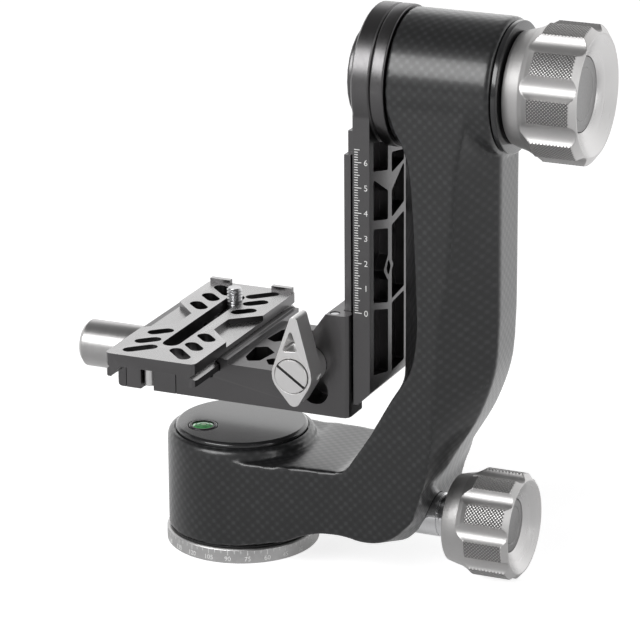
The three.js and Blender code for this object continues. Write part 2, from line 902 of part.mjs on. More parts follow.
// Chrome sleeve that the pan lock screw runs in, and the brake shoe on the spindle
function addPanLock() {
  const bore = lockScrewRadius + seatGap;
  const end = sleeveStart + sleeveLength;
  const grooveEnd = end - sleeveGrooveInset;
  const grooveStart = grooveEnd - sleeveGrooveWidth;
  const waist = sleeveRadius - sleeveGrooveDepth;
  part(
    "pan_lock_sleeve",
    "chrome",
    turned(
      "x",
      [
        [bore, sleeveStart],
        [sleeveRadius, sleeveStart],
        [sleeveRadius, grooveStart],
        [waist, grooveStart],
        [waist, grooveEnd],
        [sleeveRadius, grooveEnd],
        [sleeveRadius, end - sleeveEdge],
        [sleeveRadius - sleeveEdge, end],
        [bore, end],
        [bore, sleeveStart],
      ],
      middleSides,
    ),
    0,
    0,
    panLockHeight,
  );
  const shoeStart = spindleRadius + seatGap + brakeTravel;
  part(
    "pan_brake_shoe",
    "brass",
    rod("x", panBrakeRadius, shoeStart, shoeStart + panBrakeLength, smallSides, seatGap),
    0,
    0,
    panLockHeight,
  );
}

// Outside of a knob as shares: [share of its radius, share of its length]
const knobProfileShares = [
  [0.81, 0], [0.85, 0.1], [0.885, 0.24], [0.93, 0.33], [0.985, 0.4], [1, 0.43], [1, 0.925], [0.885, 1],
];
const knobRimShare = 0.86; // inner edge of the rim
const knobStepShare = 0.66; // step in the dish
const knobStepDepthShare = 0.6; // its depth, of the dish's depth

// A fluted knob on the X axis that starts at x = 0, dished at its outer end
function knobBody(radius, length, faceRadius, dishDepth, fluteRadius, fluteDepth, fluteTurn) {
  const dishFloor = length - dishDepth;
  const capSeatX = dishFloor - knobCapThickness;
  const stepX = length - dishDepth * knobStepDepthShare;
  const blank = turned(
    "x",
    [
      [0, 0],
      ...knobProfileShares.map(([r, along]) => [r * radius, along * length]),
      [knobRimShare * radius, length],
      [knobStepShare * radius, stepX],
      [faceRadius + seatGap, dishFloor],
      [faceRadius + seatGap, capSeatX - seatGap],
      [0, capSeatX - seatGap],
    ],
    knobSides,
  );
  const reach = radius - fluteDepth + fluteRadius;
  const flutes = Array.from({ length: fluteCount }, (_, i) => {
    const angle = THREE.MathUtils.degToRad(fluteTurn) + (2 * Math.PI * i) / fluteCount;
    const flute = rod("x", fluteRadius, 0, length + cutOverrun, fluteSides);
    return moved(flute, 0, Math.cos(angle) * reach, Math.sin(angle) * reach);
  });
  const screwBore = rod("x", lockScrewRadius + seatGap, -cutOverrun, knobScrewReach + seatGap, smallSides);
  return cut(blank, ...flutes, screwBore);
}

// The round plate in the knob's dish, with one turned ring line
const capRingShare = 0.7;
const capRingWidthShare = 0.03;
function knobCap(faceRadius, floor) {
  const ring = faceRadius * capRingShare;
  const width = faceRadius * capRingWidthShare;
  const start = floor - knobCapThickness;
  return turned(
    "x",
    [
      [0, start],
      [faceRadius, start],
      [faceRadius, floor],
      [ring + width, floor],
      [ring, floor - width],
      [ring - width, floor],
      [0, floor],
    ],
    middleSides,
  );
}

function addKnobs() {
  const panKnobStart = sleeveStart + sleeveLength + seatGap + brakeTravel;
  const screwStart = spindleRadius + seatGap + brakeTravel + panBrakeLength + seatGap;
  const panBody = knobBody(
    panKnobRadius,
    panKnobLength,
    panFaceRadius,
    panDishDepth,
    panFluteRadius,
    panFluteDepth,
    panFluteTurn,
  );
  part("pan_knob", "silver", panBody, panKnobStart, 0, panLockHeight);
  const panCapFloor = panKnobLength - panDishDepth;
  part("pan_knob_cap", "silver", knobCap(panFaceRadius, panCapFloor), panKnobStart, 0, panLockHeight);
  part(
    "pan_lock_screw",
    "steel",
    rod("x", lockScrewRadius, screwStart, panKnobStart + knobScrewReach, smallSides, seatGap),
    0,
    0,
    panLockHeight,
  );
  const tiltBody = knobBody(
    tiltKnobRadius,
    tiltKnobLength,
    tiltFaceRadius,
    tiltDishDepth,
    tiltFluteRadius,
    tiltFluteDepth,
    tiltFluteTurn,
  );
  part("tilt_knob", "silver", tiltBody, tiltKnobStart, 0, tiltHeight);
  const tiltCapFloor = tiltKnobLength - tiltDishDepth;
  part("tilt_knob_cap", "silver", knobCap(tiltFaceRadius, tiltCapFloor), tiltKnobStart, 0, tiltHeight);
  part(
    "tilt_lock_screw",
    "steel",
    rod(
      "x",
      lockScrewRadius,
      tiltShaftEnd - shaftScrewReach,
      tiltKnobStart + knobScrewReach,
      smallSides,
      seatGap,
    ),
    0,
    0,
    tiltHeight,
  );
  part(
    "tilt_brake_plate",
    "steel",
    turned(
      "x",
      [
        [lockScrewRadius + seatGap, brakePlateStart],
        [brakePlateRadius, brakePlateStart],
        [brakePlateRadius, brakePlateEnd],
        [brakeSleeveRadius, brakePlateEnd],
        [brakeSleeveRadius, tiltKnobStart - seatGap],
        [lockScrewRadius + seatGap, tiltKnobStart - seatGap],
        [lockScrewRadius + seatGap, brakePlateStart],
      ],
      middleSides,
    ),
    0,
    0,
    tiltHeight,
  );
}

// Truss pockets in the swing arm: corner heights as shares of the truss, in the order
// front top, rear top, rear bottom, front bottom, and the sides of the two columns
// as shares of the half width
const frontPocketShares = [
  [0.994, 0.962, 0.847, 0.879],
  [0.847, 0.766, 0.65, 0.684],
  [0.651, 0.614, 0.314, 0.354],
  [0.327, 0.287, 0.03, 0.06],
];
const rearPocketShares = [
  [0.909, 0.888, 0.848, 0.826],
  [0.755, 0.839, 0.678, 0.647],
  [0.617, 0.64, 0.334, 0.317],
  [0.302, 0.315, 0.03, 0.02],
];
const frontColumnShares = [-0.84, -0.26];
const rearColumnShares = [-0.11, 0.39];
const pocketCorner = 1;
// Diamond eye on the rib between the columns: centre, half width and half height as shares of the
// half width and of the truss, and the size of its hole
const eyeCentreShares = [-0.24, 0.455];
const eyeHalfShares = [0.2, 0.058];
const eyeHoleShares = [0.085, 0.036];

function trussDiamond([halfWidthShare, halfHeightShare], from, to) {
  const y = eyeCentreShares[0] * swingHalfWidth;
  const z = railBottom + trussBottom + eyeCentreShares[1] * trussHeight;
  const dy = halfWidthShare * swingHalfWidth;
  const dz = halfHeightShare * trussHeight;
  return prism("yz", rounded([[y - dy, z], [y, z - dz], [y + dy, z], [y, z + dz]], pocketCorner), from, to);
}

function trussPockets() {
  const bottom = railBottom + trussBottom;
  const column = (shares, sides) =>
    shares.map(([a, b, c, d]) => {
      const [front, rear] = sides.map((share) => share * swingHalfWidth);
      const heights = [a, b, c, d].map((share) => bottom + share * trussHeight);
      const corners = [front, rear, rear, front].map((y, i) => [y, heights[i]]);
      return prism("yz", rounded(corners, pocketCorner), swingBack + swingWeb, swingFace + cutOverrun);
    });
  return [...column(frontPocketShares, frontColumnShares), ...column(rearPocketShares, rearColumnShares)];
}

// Swing arm with its shaft, bolt, disc and height rail
function addSwingArm() {
  const trussFace = swingFace - swingStep;
  const section = [
    [swingBack, -swingHalfWidth],
    [trussFace, -swingHalfWidth],
    [trussFace, trussEdgeReach],
    [swingBack + swingWeb, swingHalfWidth],
    [swingBack, swingHalfWidth],
  ];
  const blade = prism("xy", section, railBottom, tiltHeight);
  const disc = moved(rod("x", swingDiscRadius, swingBack, swingFace, largeSides, drumEdge), 0, 0, tiltHeight);
  const corner = swingBottomChamfer + cutOverrun;
  const bottomCut = prism(
    "xz",
    [
      [trussFace - swingBottomChamfer, railBottom],
      [trussFace - swingBottomChamfer, railBottom - corner],
      [trussFace + corner, railBottom - corner],
      [trussFace + corner, railBottom + swingBottomChamfer + corner],
      [trussFace, railBottom + swingBottomChamfer],
    ],
    -swingHalfWidth - cutOverrun,
    swingHalfWidth + cutOverrun,
  );
  const boltHole = moved(
    rod("x", tiltBoltRadius + seatGap, swingBack - cutOverrun, swingFace + cutOverrun, smallSides),
    0,
    0,
    tiltHeight,
  );
  const screwHole = rod(
    "x",
    railScrewRadius + seatGap,
    swingBack - cutOverrun,
    swingBack + swingWeb / 2,
    smallSides,
  );
  const screwHoles = [railBottom + railScrewInset, tiltHeight - railShoulderDrop - railScrewInset].map((z) =>
    moved(screwHole, 0, 0, z),
  );
  const open = cut(joined(blade, disc), bottomCut, ...trussPockets());
  const eye = trussDiamond(eyeHalfShares, swingBack + swingWeb / 2, trussFace);
  const eyeHole = trussDiamond(eyeHoleShares, swingBack + swingWeb, swingFace + cutOverrun);
  part("swing_arm", "darkMetal", cut(joined(open, eye), eyeHole, boltHole, ...screwHoles));

  const boltEnd = tiltShaftStart + tiltShaftLength * tiltBoltShare;
  part(
    "tilt_shaft",
    "steel",
    cut(
      rod("x", tiltShaftRadius, tiltShaftStart, tiltShaftEnd, middleSides, seatGap),
      rod("x", tiltBoltRadius + seatGap, tiltShaftStart - cutOverrun, boltEnd + seatGap, smallSides),
      rod(
        "x",
        lockScrewRadius + seatGap,
        tiltShaftEnd - shaftScrewReach - brakeTravel - seatGap,
        tiltShaftEnd + cutOverrun,
        smallSides,
      ),
    ),
    0,
    0,
    tiltHeight,
  );
  const boltSeat = swingBack - seatGap;
  part(
    "tilt_bolt",
    "steel",
    joined(
      rod("x", tiltBoltHeadRadius, boltSeat - tiltBoltHeadHeight, boltSeat, smallSides),
      rod("x", tiltBoltRadius, boltSeat - tiltBoltHeadHeight / 2, boltEnd, smallSides),
    ),
    0,
    0,
    tiltHeight,
  );
  const discStart = boltSeat - railDiscThickness;
  part(
    "rail_disc",
    "darkMetal",
    cut(
      rod("x", railDiscRadius, discStart, boltSeat, middleSides, railDiscEdge),
      rod(
        "x",
        tiltBoltHeadRadius + seatGap,
        boltSeat - tiltBoltHeadHeight - seatGap,
        boltSeat + cutOverrun,
        smallSides,
      ),
    ),
    0,
    0,
    tiltHeight,
  );
  addRail(discStart);
}

function addRail(discStart) {
  const shoulder = tiltHeight - railShoulderDrop;
  const railTop = tiltHeight - railDiscRadius - seatGap;
  const head = prism(
    "yz",
    [
      [-railHeadHalfWidth, railBottom],
      [railHeadHalfWidth, railBottom],
      [railHeadHalfWidth, shoulder],
      [railTopHalfWidth, shoulder],
      [railTopHalfWidth, railTop],
      [-railTopHalfWidth, railTop],
      [-railTopHalfWidth, shoulder],
      [-railHeadHalfWidth, shoulder],
    ],
    railFace,
    railHeadBack,
  );
  const neck = block(
    railHeadBack - railHeadThickness / 2,
    railNeckEnd,
    -railNeckWidth / 2,
    railNeckWidth / 2,
    railBottom,
    railTop,
  );
  const screwHeights = [railBottom + railScrewInset, shoulder - railScrewInset];
  const screwSeat = railFace + railScrewHeadHeight;
  const boreStart = railFace - cutOverrun;
  const screwHoles = screwHeights.flatMap((z) => [
    moved(rod("x", railScrewRadius + seatGap, boreStart, railNeckEnd + cutOverrun, smallSides), 0, 0, z),
    moved(rod("x", railScrewHeadRadius + seatGap, boreStart, screwSeat, smallSides), 0, 0, z),
  ]);
  const stopZ = railBottom + stopScrewRise;
  const stopHole = moved(
    rod("x", railScrewRadius + seatGap, railFace - cutOverrun, railNeckEnd - seatGap, smallSides),
    0,
    -railNeckWidth / 4,
    stopZ,
  );
  part("height_rail", "darkMetal", cut(joined(head, neck), ...screwHoles, stopHole));
  const screwEnd = swingBack + swingWeb / 2 - seatGap;
  screwHeights.forEach((z, i) => {
    const headSeat = screwSeat - seatGap;
    part(
      ["rail_screw_lower", "rail_screw_upper"][i],
      "steel",
      joined(
        rod("x", railScrewHeadRadius, headSeat - railScrewHeadHeight + seatGap, headSeat, smallSides),
        rod("x", railScrewRadius, headSeat - railScrewHeadHeight / 2, screwEnd, smallSides),
      ),
      0,
      0,
      z,
    );
  });
  const stopSeat = railFace - seatGap;
  part(
    "height_stop_screw",
    "steel",
    joined(
      rod("x", stopScrewHeadRadius, stopSeat - stopScrewProud, stopSeat, smallSides),
      rod("x", railScrewRadius, stopSeat - stopScrewProud / 2, railNeckEnd - 2 * seatGap, smallSides),
    ),
    0,
    -railNeckWidth / 4,
    stopZ,
  );
}

// Pockets in the top of the bracket's arm, as shares of its run (from the fixed jaw to the leg)
// and of its half depth
const armPocketShares = [
  [[0.07, -0.6], [0.04, -0.2], [0.16, -0.11], [0.31, -0.3], [0.27, -0.69], [0.15, -0.76]],
  [[0.32, -0.62], [0.39, -0.5], [0.51, -0.78], [0.41, -0.79]],
  [[0.38, -0.3], [0.31, 0], [0.38, 0.3], [0.64, 0.44], [0.77, 0.3], [0.77, -0.3], [0.64, -0.44]],
];

function bracketPockets(start, end) {
  const place = ([along, across]) => [start + along * (end - start), across * bracketHalfDepth];
  const outlines = armPocketShares.map((shares) => shares.map(place));
  const pairs = outlines.flatMap((points) => {
    const symmetric = points.some((p) => p[1] > 0);
    return symmetric ? [points] : [points, mirrored(points)];
  });
  return pairs.map((points) =>
    prism("xy", rounded(points, pocketCorner), bracketBottom + pocketFloor, bracketArmTop + cutOverrun),
  );
}

// Nose that reaches into the plate's notch: dir is +1 for the right side, -1 for the left
function jawNose(wallX, dir, rearReach) {
  const notchLow = plateBottom + plateFootHeight;
  const notchHigh = plateTop - plateTopHeight;
  const middle = (notchLow + notchHigh) / 2;
  const tip = wallX - dir * (notchDepth - seatGap);
  const back = wallX + (dir * jawThickness) / 2;
  const slope = (notchHigh - notchLow) / 2 - seatGap;
  return prism(
    "xz",
    [
      [back, middle - slope],
      [wallX, middle - slope],
      [tip, middle],
      [wallX, middle + slope],
      [back, middle + slope],
    ],
    -bracketHalfDepth,
    rearReach,
  );
}

// Bracket: a leg that wraps the rail and a horizontal arm with the fixed jaw
function addBracket() {
  const jawWall = plateRight + seatGap;
  const jawBack = jawWall + jawThickness;
  const profile = [
    [-bracketReach, bracketBottom],
    [lipEnd, bracketBottom],
    [lipEnd, legTop],
    [legRight - legTopThickness, legTop],
    [legLeft, legTop - legTopSlope],
    [legLeft, bracketArmTop],
    [jawBack, bracketArmTop],
    [jawBack, jawTop],
    [jawWall, jawTop],
    [jawWall, clampFloor],
    [-bracketReach, clampFloor],
  ];
  const body = prism("xz", profile, -bracketHalfDepth, bracketHalfDepth);
  const rearJaw = block(jawWall, jawBack, 0, clampRearReach, clampFloor - cutOverrun, jawTop);
  const rearFloor = block(-bracketReach, jawBack, 0, clampRearReach, bracketBottom, clampFloor);
  const gusset = (side) =>
    prism(
      "xz",
      [
        [legLeft - gussetRun, bracketArmTop - cutOverrun],
        [legLeft + cutOverrun, bracketArmTop - cutOverrun],
        [legLeft + cutOverrun, legTop - legTopSlope],
        [legLeft, legTop - legTopSlope],
      ],
      Math.min(side * bracketHalfDepth, side * (bracketHalfDepth - gussetThickness)),
      Math.max(side * bracketHalfDepth, side * (bracketHalfDepth - gussetThickness)),
    );
  const pivot = moved(
    rod("y", leverBossRadius, -bracketHalfDepth, bracketHalfDepth, middleSides),
    leverX,
    0,
    leverZ,
  );
  const sideGap = railHeadHalfWidth + seatGap;
  const gibRoom = sideGap + gibWidth + 2 * seatGap + gibTravel;
  const channel = block(
    legRight,
    railHeadBack + seatGap,
    -sideGap,
    gibRoom,
    bracketBottom - cutOverrun,
    legTop + cutOverrun,
  );
  const mouthHalf = railNeckWidth / 2 + 2 * seatGap;
  const mouth = block(
    railHeadBack,
    lipEnd + cutOverrun,
    -mouthHalf,
    mouthHalf,
    bracketBottom - cutOverrun,
    legTop + cutOverrun,
  );
  const edges = [-1, 1].map((side) => {
    const arc = new THREE.QuadraticBezierCurve(
      new THREE.Vector2(lipEnd - legCorner, side * bracketHalfDepth),
      new THREE.Vector2(lipEnd, side * bracketHalfDepth),
      new THREE.Vector2(lipEnd, side * (bracketHalfDepth - legCorner)),
    );
    return prism(
      "xy",
      [
        ...arc.getPoints(cornerSteps).map((p) => [p.x, p.y]),
        [lipEnd + cutOverrun, side * (bracketHalfDepth - legCorner)],
        [lipEnd + cutOverrun, side * (bracketHalfDepth + cutOverrun)],
        [lipEnd - legCorner, side * (bracketHalfDepth + cutOverrun)],
      ],
      bracketBottom - cutOverrun,
      legTop + cutOverrun,
    );
  });
  const relief = prism(
    "yz",
    [
      [legReliefStart - cutOverrun, bracketBottom - cutOverrun],
      [bracketHalfDepth + cutOverrun, bracketBottom - cutOverrun],
      [bracketHalfDepth + cutOverrun, railBottom],
      [legReliefStart + bracketDrop, railBottom],
    ],
    legLeft,
    lipEnd + cutOverrun,
  );
  const stopZ = railBottom + stopScrewRise;
  const grooveHalf = stopScrewHeadRadius + 2 * seatGap;
  const stopY = -railNeckWidth / 4;
  const stopGroove = prism(
    "yz",
    rounded(
      [
        [stopY - grooveHalf, bracketBottom - cutOverrun],
        [stopY + grooveHalf, bracketBottom - cutOverrun],
        [stopY + grooveHalf, stopZ + grooveHalf],
        [stopY - grooveHalf, stopZ + grooveHalf],
      ],
      [0, 0, grooveHalf / 2, grooveHalf / 2],
    ),
    legRight - stopScrewProud - 2 * seatGap,
    legRight + cutOverrun,
  );
  const eye = moved(
    rod("y", eyeRadius, -bracketHalfDepth - cutOverrun, -bracketHalfDepth + eyeDepth, middleSides),
    railFace - eyeOffset,
    0,
    bracketBottom + eyeHeight,
  );
  const boltHole = moved(
    rod(
      "y",
      lockBoltRadius + seatGap,
      -bracketHalfDepth - cutOverrun,
      bracketHalfDepth + cutOverrun,
      smallSides,
    ),
    leverX,
    0,
    leverZ,
  );
  const stepTop = clampFloor + cutOverrun;
  const faceStep = prism(
    "xz",
    rounded(
      [
        [-bracketReach - cutOverrun, bracketBottom + faceStepHeight],
        [faceStepReach, bracketBottom + faceStepHeight],
        [faceStepReach, stepTop],
        [-bracketReach - cutOverrun, stepTop],
      ],
      [0, faceStepDepth / 2, 0, 0],
    ),
    -bracketHalfDepth - cutOverrun,
    -bracketHalfDepth + faceStepDepth,
  );
  const joinHole = rod(
    "x",
    joinScrewRadius + seatGap,
    -bracketReach - cutOverrun,
    -bracketReach + joinScrewLength / 2,
    smallSides,
  );
  const joinHoles = [-1, 1].map((side) => moved(joinHole, 0, side * joinScrewOffset, clampBoltZ));
  const boltBore = moved(
    rod("x", clampBoltRadius + seatGap, -bracketReach - cutOverrun, -bracketReach / 2, smallSides),
    0,
    0,
    clampBoltZ,
  );
  const setScrewX = legRight - setScrewRadius - seatGap;
  const setScrewY = -bracketHalfDepth + setScrewRadius + 2 * seatGap + setScrewRadius / 2;
  const setScrewHole = moved(
    rod("z", setScrewRadius + seatGap, legTop - setScrewLength - seatGap, legTop + cutOverrun, smallSides),
    setScrewX,
    setScrewY,
    0,
  );
  part(
    "l_bracket",
    "darkMetal",
    cut(
      joined(body, rearJaw, rearFloor, gusset(-1), gusset(1), pivot, jawNose(jawWall, 1, clampRearReach)),
      channel,
      mouth,
      ...edges,
      relief,
      stopGroove,
      eye,
      boltHole,
      faceStep,
      ...joinHoles,
      boltBore,
      setScrewHole,
      ...bracketPockets(jawBack, legLeft),
    ),
  );
  part(
    "bracket_set_screw",
    "steel",
    rod("z", setScrewRadius, legTop - setScrewLength, legTop - seatGap, smallSides),
    setScrewX,
    setScrewY,
  );
  addGib(sideGap);
}

// Sliding gib that the height lock presses on the rail's edge
function addGib(sideGap) {
  part(
    "height_gib",
    "brass",
    block(
      railFace,
      railHeadBack,
      sideGap,
      sideGap + gibWidth,
      railBottom + seatGap,
      legTop - seatGap,
    ),
  );
}

// Clamp body, its screws, the moving jaw and the clamp knob
function addClamp() {
  const body = block(clampLeft, clampRight, -bracketHalfDepth, clampRearReach, bracketBottom, clampFloor);
  const throughX = (radius, y) =>
    moved(rod("x", radius, clampLeft - cutOverrun, clampRight + cutOverrun, smallSides), 0, y, clampBoltZ);
  const headDepth = joinScrewRadius;
  const headRadius = joinScrewRadius + seatGap + joinScrewRadius / 2;
  const headBores = [-1, 1].map((side) =>
    moved(
      rod("x", headRadius + seatGap, clampLeft - cutOverrun, clampLeft + headDepth + seatGap, smallSides),
      0,
      side * joinScrewOffset,
      clampBoltZ,
    ),
  );
  const pinY = -bracketHalfDepth + pinHeadRadius + pinSlotInset;
  const headTop = bracketBottom + pinHeadLow + pinHeadHeight;
  const slotHalf = pinHeadRadius + seatGap;
  const slotRoom = joined(
    block(
      pinX - slotHalf,
      pinX + slotHalf,
      -bracketHalfDepth - cutOverrun,
      pinY,
      bracketBottom - cutOverrun,
      headTop + seatGap,
    ),
    moved(rod("z", slotHalf, bracketBottom - cutOverrun, headTop + seatGap, smallSides), pinX, pinY, 0),
  );
  const springFloor = headTop + 2 * seatGap + pinCollarHeight;
  const stemBore = moved(
    rod("z", pinStemRadius + seatGap, headTop, clampFloor + cutOverrun, smallSides),
    pinX,
    pinY,
    0,
  );
  const springBore = moved(
    rod("z", pinCollarRadius + seatGap, springFloor, clampFloor + cutOverrun, smallSides),
    pinX,
    pinY,
    0,
  );
  part(
    "clamp_body",
    "darkMetal",
    cut(
      body,
      throughX(clampBoltRadius + seatGap, 0),
      throughX(joinScrewRadius + seatGap, -joinScrewOffset),
      throughX(joinScrewRadius + seatGap, joinScrewOffset),
      throughX(guidePinRadius + seatGap, -guidePinOffset),
      throughX(guidePinRadius + seatGap, guidePinOffset + joinScrewOffset),
      ...headBores,
      slotRoom,
      stemBore,
      springBore,
    ),
  );
  const headStart = clampLeft + seatGap;
  const screwEnd = -bracketReach + joinScrewLength / 2 - seatGap;
  [-1, 1].forEach((side) => {
    part(
      side < 0 ? "clamp_screw_front" : "clamp_screw_rear",
      "steel",
      joined(
        rod("x", headRadius, headStart, headStart + headDepth - seatGap, smallSides),
        rod("x", joinScrewRadius, headStart + headDepth / 2, screwEnd, smallSides),
      ),
      0,
      side * joinScrewOffset,
      clampBoltZ,
    );
  });
  addJaw();
  addClampKnob();
  addPin(pinY, headTop);
}

function addJaw() {
  const wallX = plateLeft - seatGap;
  const upright = prism(
    "xz",
    rounded(
      [
        [jawLeft, bracketBottom],
        [jawRight, bracketBottom],
        [jawRight, clampFloor + seatGap],
        [wallX, clampFloor + seatGap],
        [wallX, jawTop],
        [jawLeft, jawTop],
      ],
      [jawCorner, 0, 0, 0, 0, seatGap],
    ),
    -bracketHalfDepth,
    clampRearReach,
  );
  const hole = (radius, y) => {
    const bore = rod("x", radius + seatGap, jawLeft - cutOverrun, jawRight + cutOverrun, smallSides);
    return moved(bore, 0, y, clampBoltZ);
  };
  const pinY = [-guidePinOffset, guidePinOffset + joinScrewOffset];
  part(
    "clamp_jaw",
    "darkMetal",
    cut(
      joined(upright, jawNose(wallX, -1, clampRearReach)),
      hole(clampBoltRadius, 0),
      ...pinY.map((y) => hole(guidePinRadius, y)),
    ),
  );
  pinY.forEach((y, i) =>
    part(
      ["jaw_guide_pin_front", "jaw_guide_pin_rear"][i],
      "steel",
      rod("x", guidePinRadius, jawLeft + seatGap, jawLeft + guidePinLength, smallSides, seatGap),
      0,
      y,
      clampBoltZ,
    ),
  );
}

function addClampKnob() {
  const knobEnd = jawLeft - seatGap;
  const knobStart = knobEnd - clampKnobLength;
  part(
    "clamp_knob",
    "silver",
    cut(
      rod("x", clampKnobRadius, knobStart, knobEnd, middleSides, clampKnobChamfer),
      rod("x", clampBoltRadius + seatGap, knobEnd - clampKnobLength / 2, knobEnd + cutOverrun, smallSides),
    ),
    0,
    0,
    clampBoltZ,
  );
  part(
    "clamp_bolt",
    "steel",
    rod(
      "x",
      clampBoltRadius,
      knobEnd - clampKnobLength / 2 + seatGap,
      -bracketReach / 2 - jawTravel / 2,
      smallSides,
      seatGap,
    ),
    0,
    0,
    clampBoltZ,
  );
}

// Safety pin that drops out of the plate's groove
function addPin(pinY, headTop) {
  const collarTop = clampFloor - seatGap;
  part(
    "safety_pin",
    "silver",
    joined(
      rod("z", pinHeadRadius, headTop - pinHeadHeight, headTop, smallSides, seatGap),
      rod("z", pinStemRadius, headTop - pinHeadHeight / 2, clampFloor + pinReach, smallSides),
      rod("z", pinCollarRadius, collarTop - pinCollarHeight, collarTop, smallSides),
    ),
    pinX,
    pinY,
  );
}

// Height lock lever with its cover screw, bolt and nut
function addLever() {
  const front = -bracketHalfDepth - seatGap - leverStandOff - leverThickness;
  const shoulder = front + leverThickness;
  const outline = wrapped(
    [
      [0, 0, leverHubRadius],
      [leverTipRadius / 2, leverTipReach, leverTipRadius],
      [leverTipRadius / 2, -leverTailReach, leverTailRadius],
    ],
    middleSides,
  );
  const windowShares = [[-0.01, 0.85], [-0.17, 0.43], [0.12, 0.46]];
  const window = windowShares.map(([u, v]) => [u * leverTipReach, v * leverTipReach]);
  const plate = prism("xz", outline, front, shoulder);
  const boss = rod("y", leverBossRadius, shoulder - leverRecess, -bracketHalfDepth - seatGap, middleSides);
  const seat = front + leverRecess;
  part(
    "height_lever",
    "silver",
    cut(
      joined(plate, boss),
      prism("xz", rounded(window, leverTipRadius / 2), front - cutOverrun, shoulder + cutOverrun),
      rod("y", leverScrewRadius + seatGap, front - cutOverrun, seat, middleSides),
      rod("y", lockBoltRadius + seatGap, front, -bracketHalfDepth + cutOverrun, smallSides),
    ),
    leverX,
    0,
    leverZ,
  );
  const headBack = seat - seatGap;
  const slot = block(
    -leverScrewRadius - cutOverrun,
    leverScrewRadius + cutOverrun,
    headBack - leverScrewHeight - cutOverrun,
    headBack - leverScrewHeight + leverSlotDepth,
    -leverSlotWidth / 2,
    leverSlotWidth / 2,
  ).rotateY(THREE.MathUtils.degToRad(-leverSlotAngle));
  part(
    "lever_screw",
    "silver",
    cut(rod("y", leverScrewRadius, headBack - leverScrewHeight, headBack, middleSides, seatGap), slot),
    leverX,
    0,
    leverZ,
  );
  const nutStart = bracketHalfDepth + seatGap;
  part(
    "lock_bolt",
    "steel",
    rod("y", lockBoltRadius, seat, nutStart + lockNutHeight, smallSides, seatGap),
    leverX,
    0,
    leverZ,
  );
  part(
    "lock_nut",
    "steel",
    cut(
      rod("y", lockNutRadius, nutStart, nutStart + lockNutHeight, nutSides),
      rod(
        "y",
        lockBoltRadius + seatGap,
        nutStart - cutOverrun,
        nutStart + lockNutHeight + cutOverrun,
        smallSides,
      ),
    ),
    leverX,
    0,
    leverZ,
  );
}

// Oblique slots of the plate: centre, and half the line between the centres of its round ends,
// as shares of the plate's half width and half length
const obliqueSlotShares = [
  [[0.446, 0.795], [0.166, 0.064]],
  [[0.518, 0.594], [0.106, 0.039]],
  [[0.516, 0.36], [0.106, 0.039]],
];
// Recess at the right side of the plate; the left one is the same turned by half a turn
const sideRecessShares = [[1, -0.4], [0.435, -0.15], [0.435, 0.13], [1, 0.33]];

function plateSlots() {
  const halfWidth = plateWidth / 2;
  const halfLength = plateLength / 2;
  const slots = [];
  for (const [[cx, cy], [hx, hy]] of obliqueSlotShares) {
    for (const sx of [-1, 1]) {
      for (const sy of [-1, 1]) {
        const x = plateMiddle + sx * cx * halfWidth;
        const y = sy * cy * halfLength;
        const lean = -sx * sy;
        const dx = hx * halfWidth;
        const dy = lean * hy * halfLength;
        const outline = stadium(x - dx, y + dy, x + dx, y - dy, obliqueSlotWidth);
        slots.push(prism("xy", outline, plateBottom - cutOverrun, plateTop + cutOverrun));
      }
    }
  }
  return slots;
}

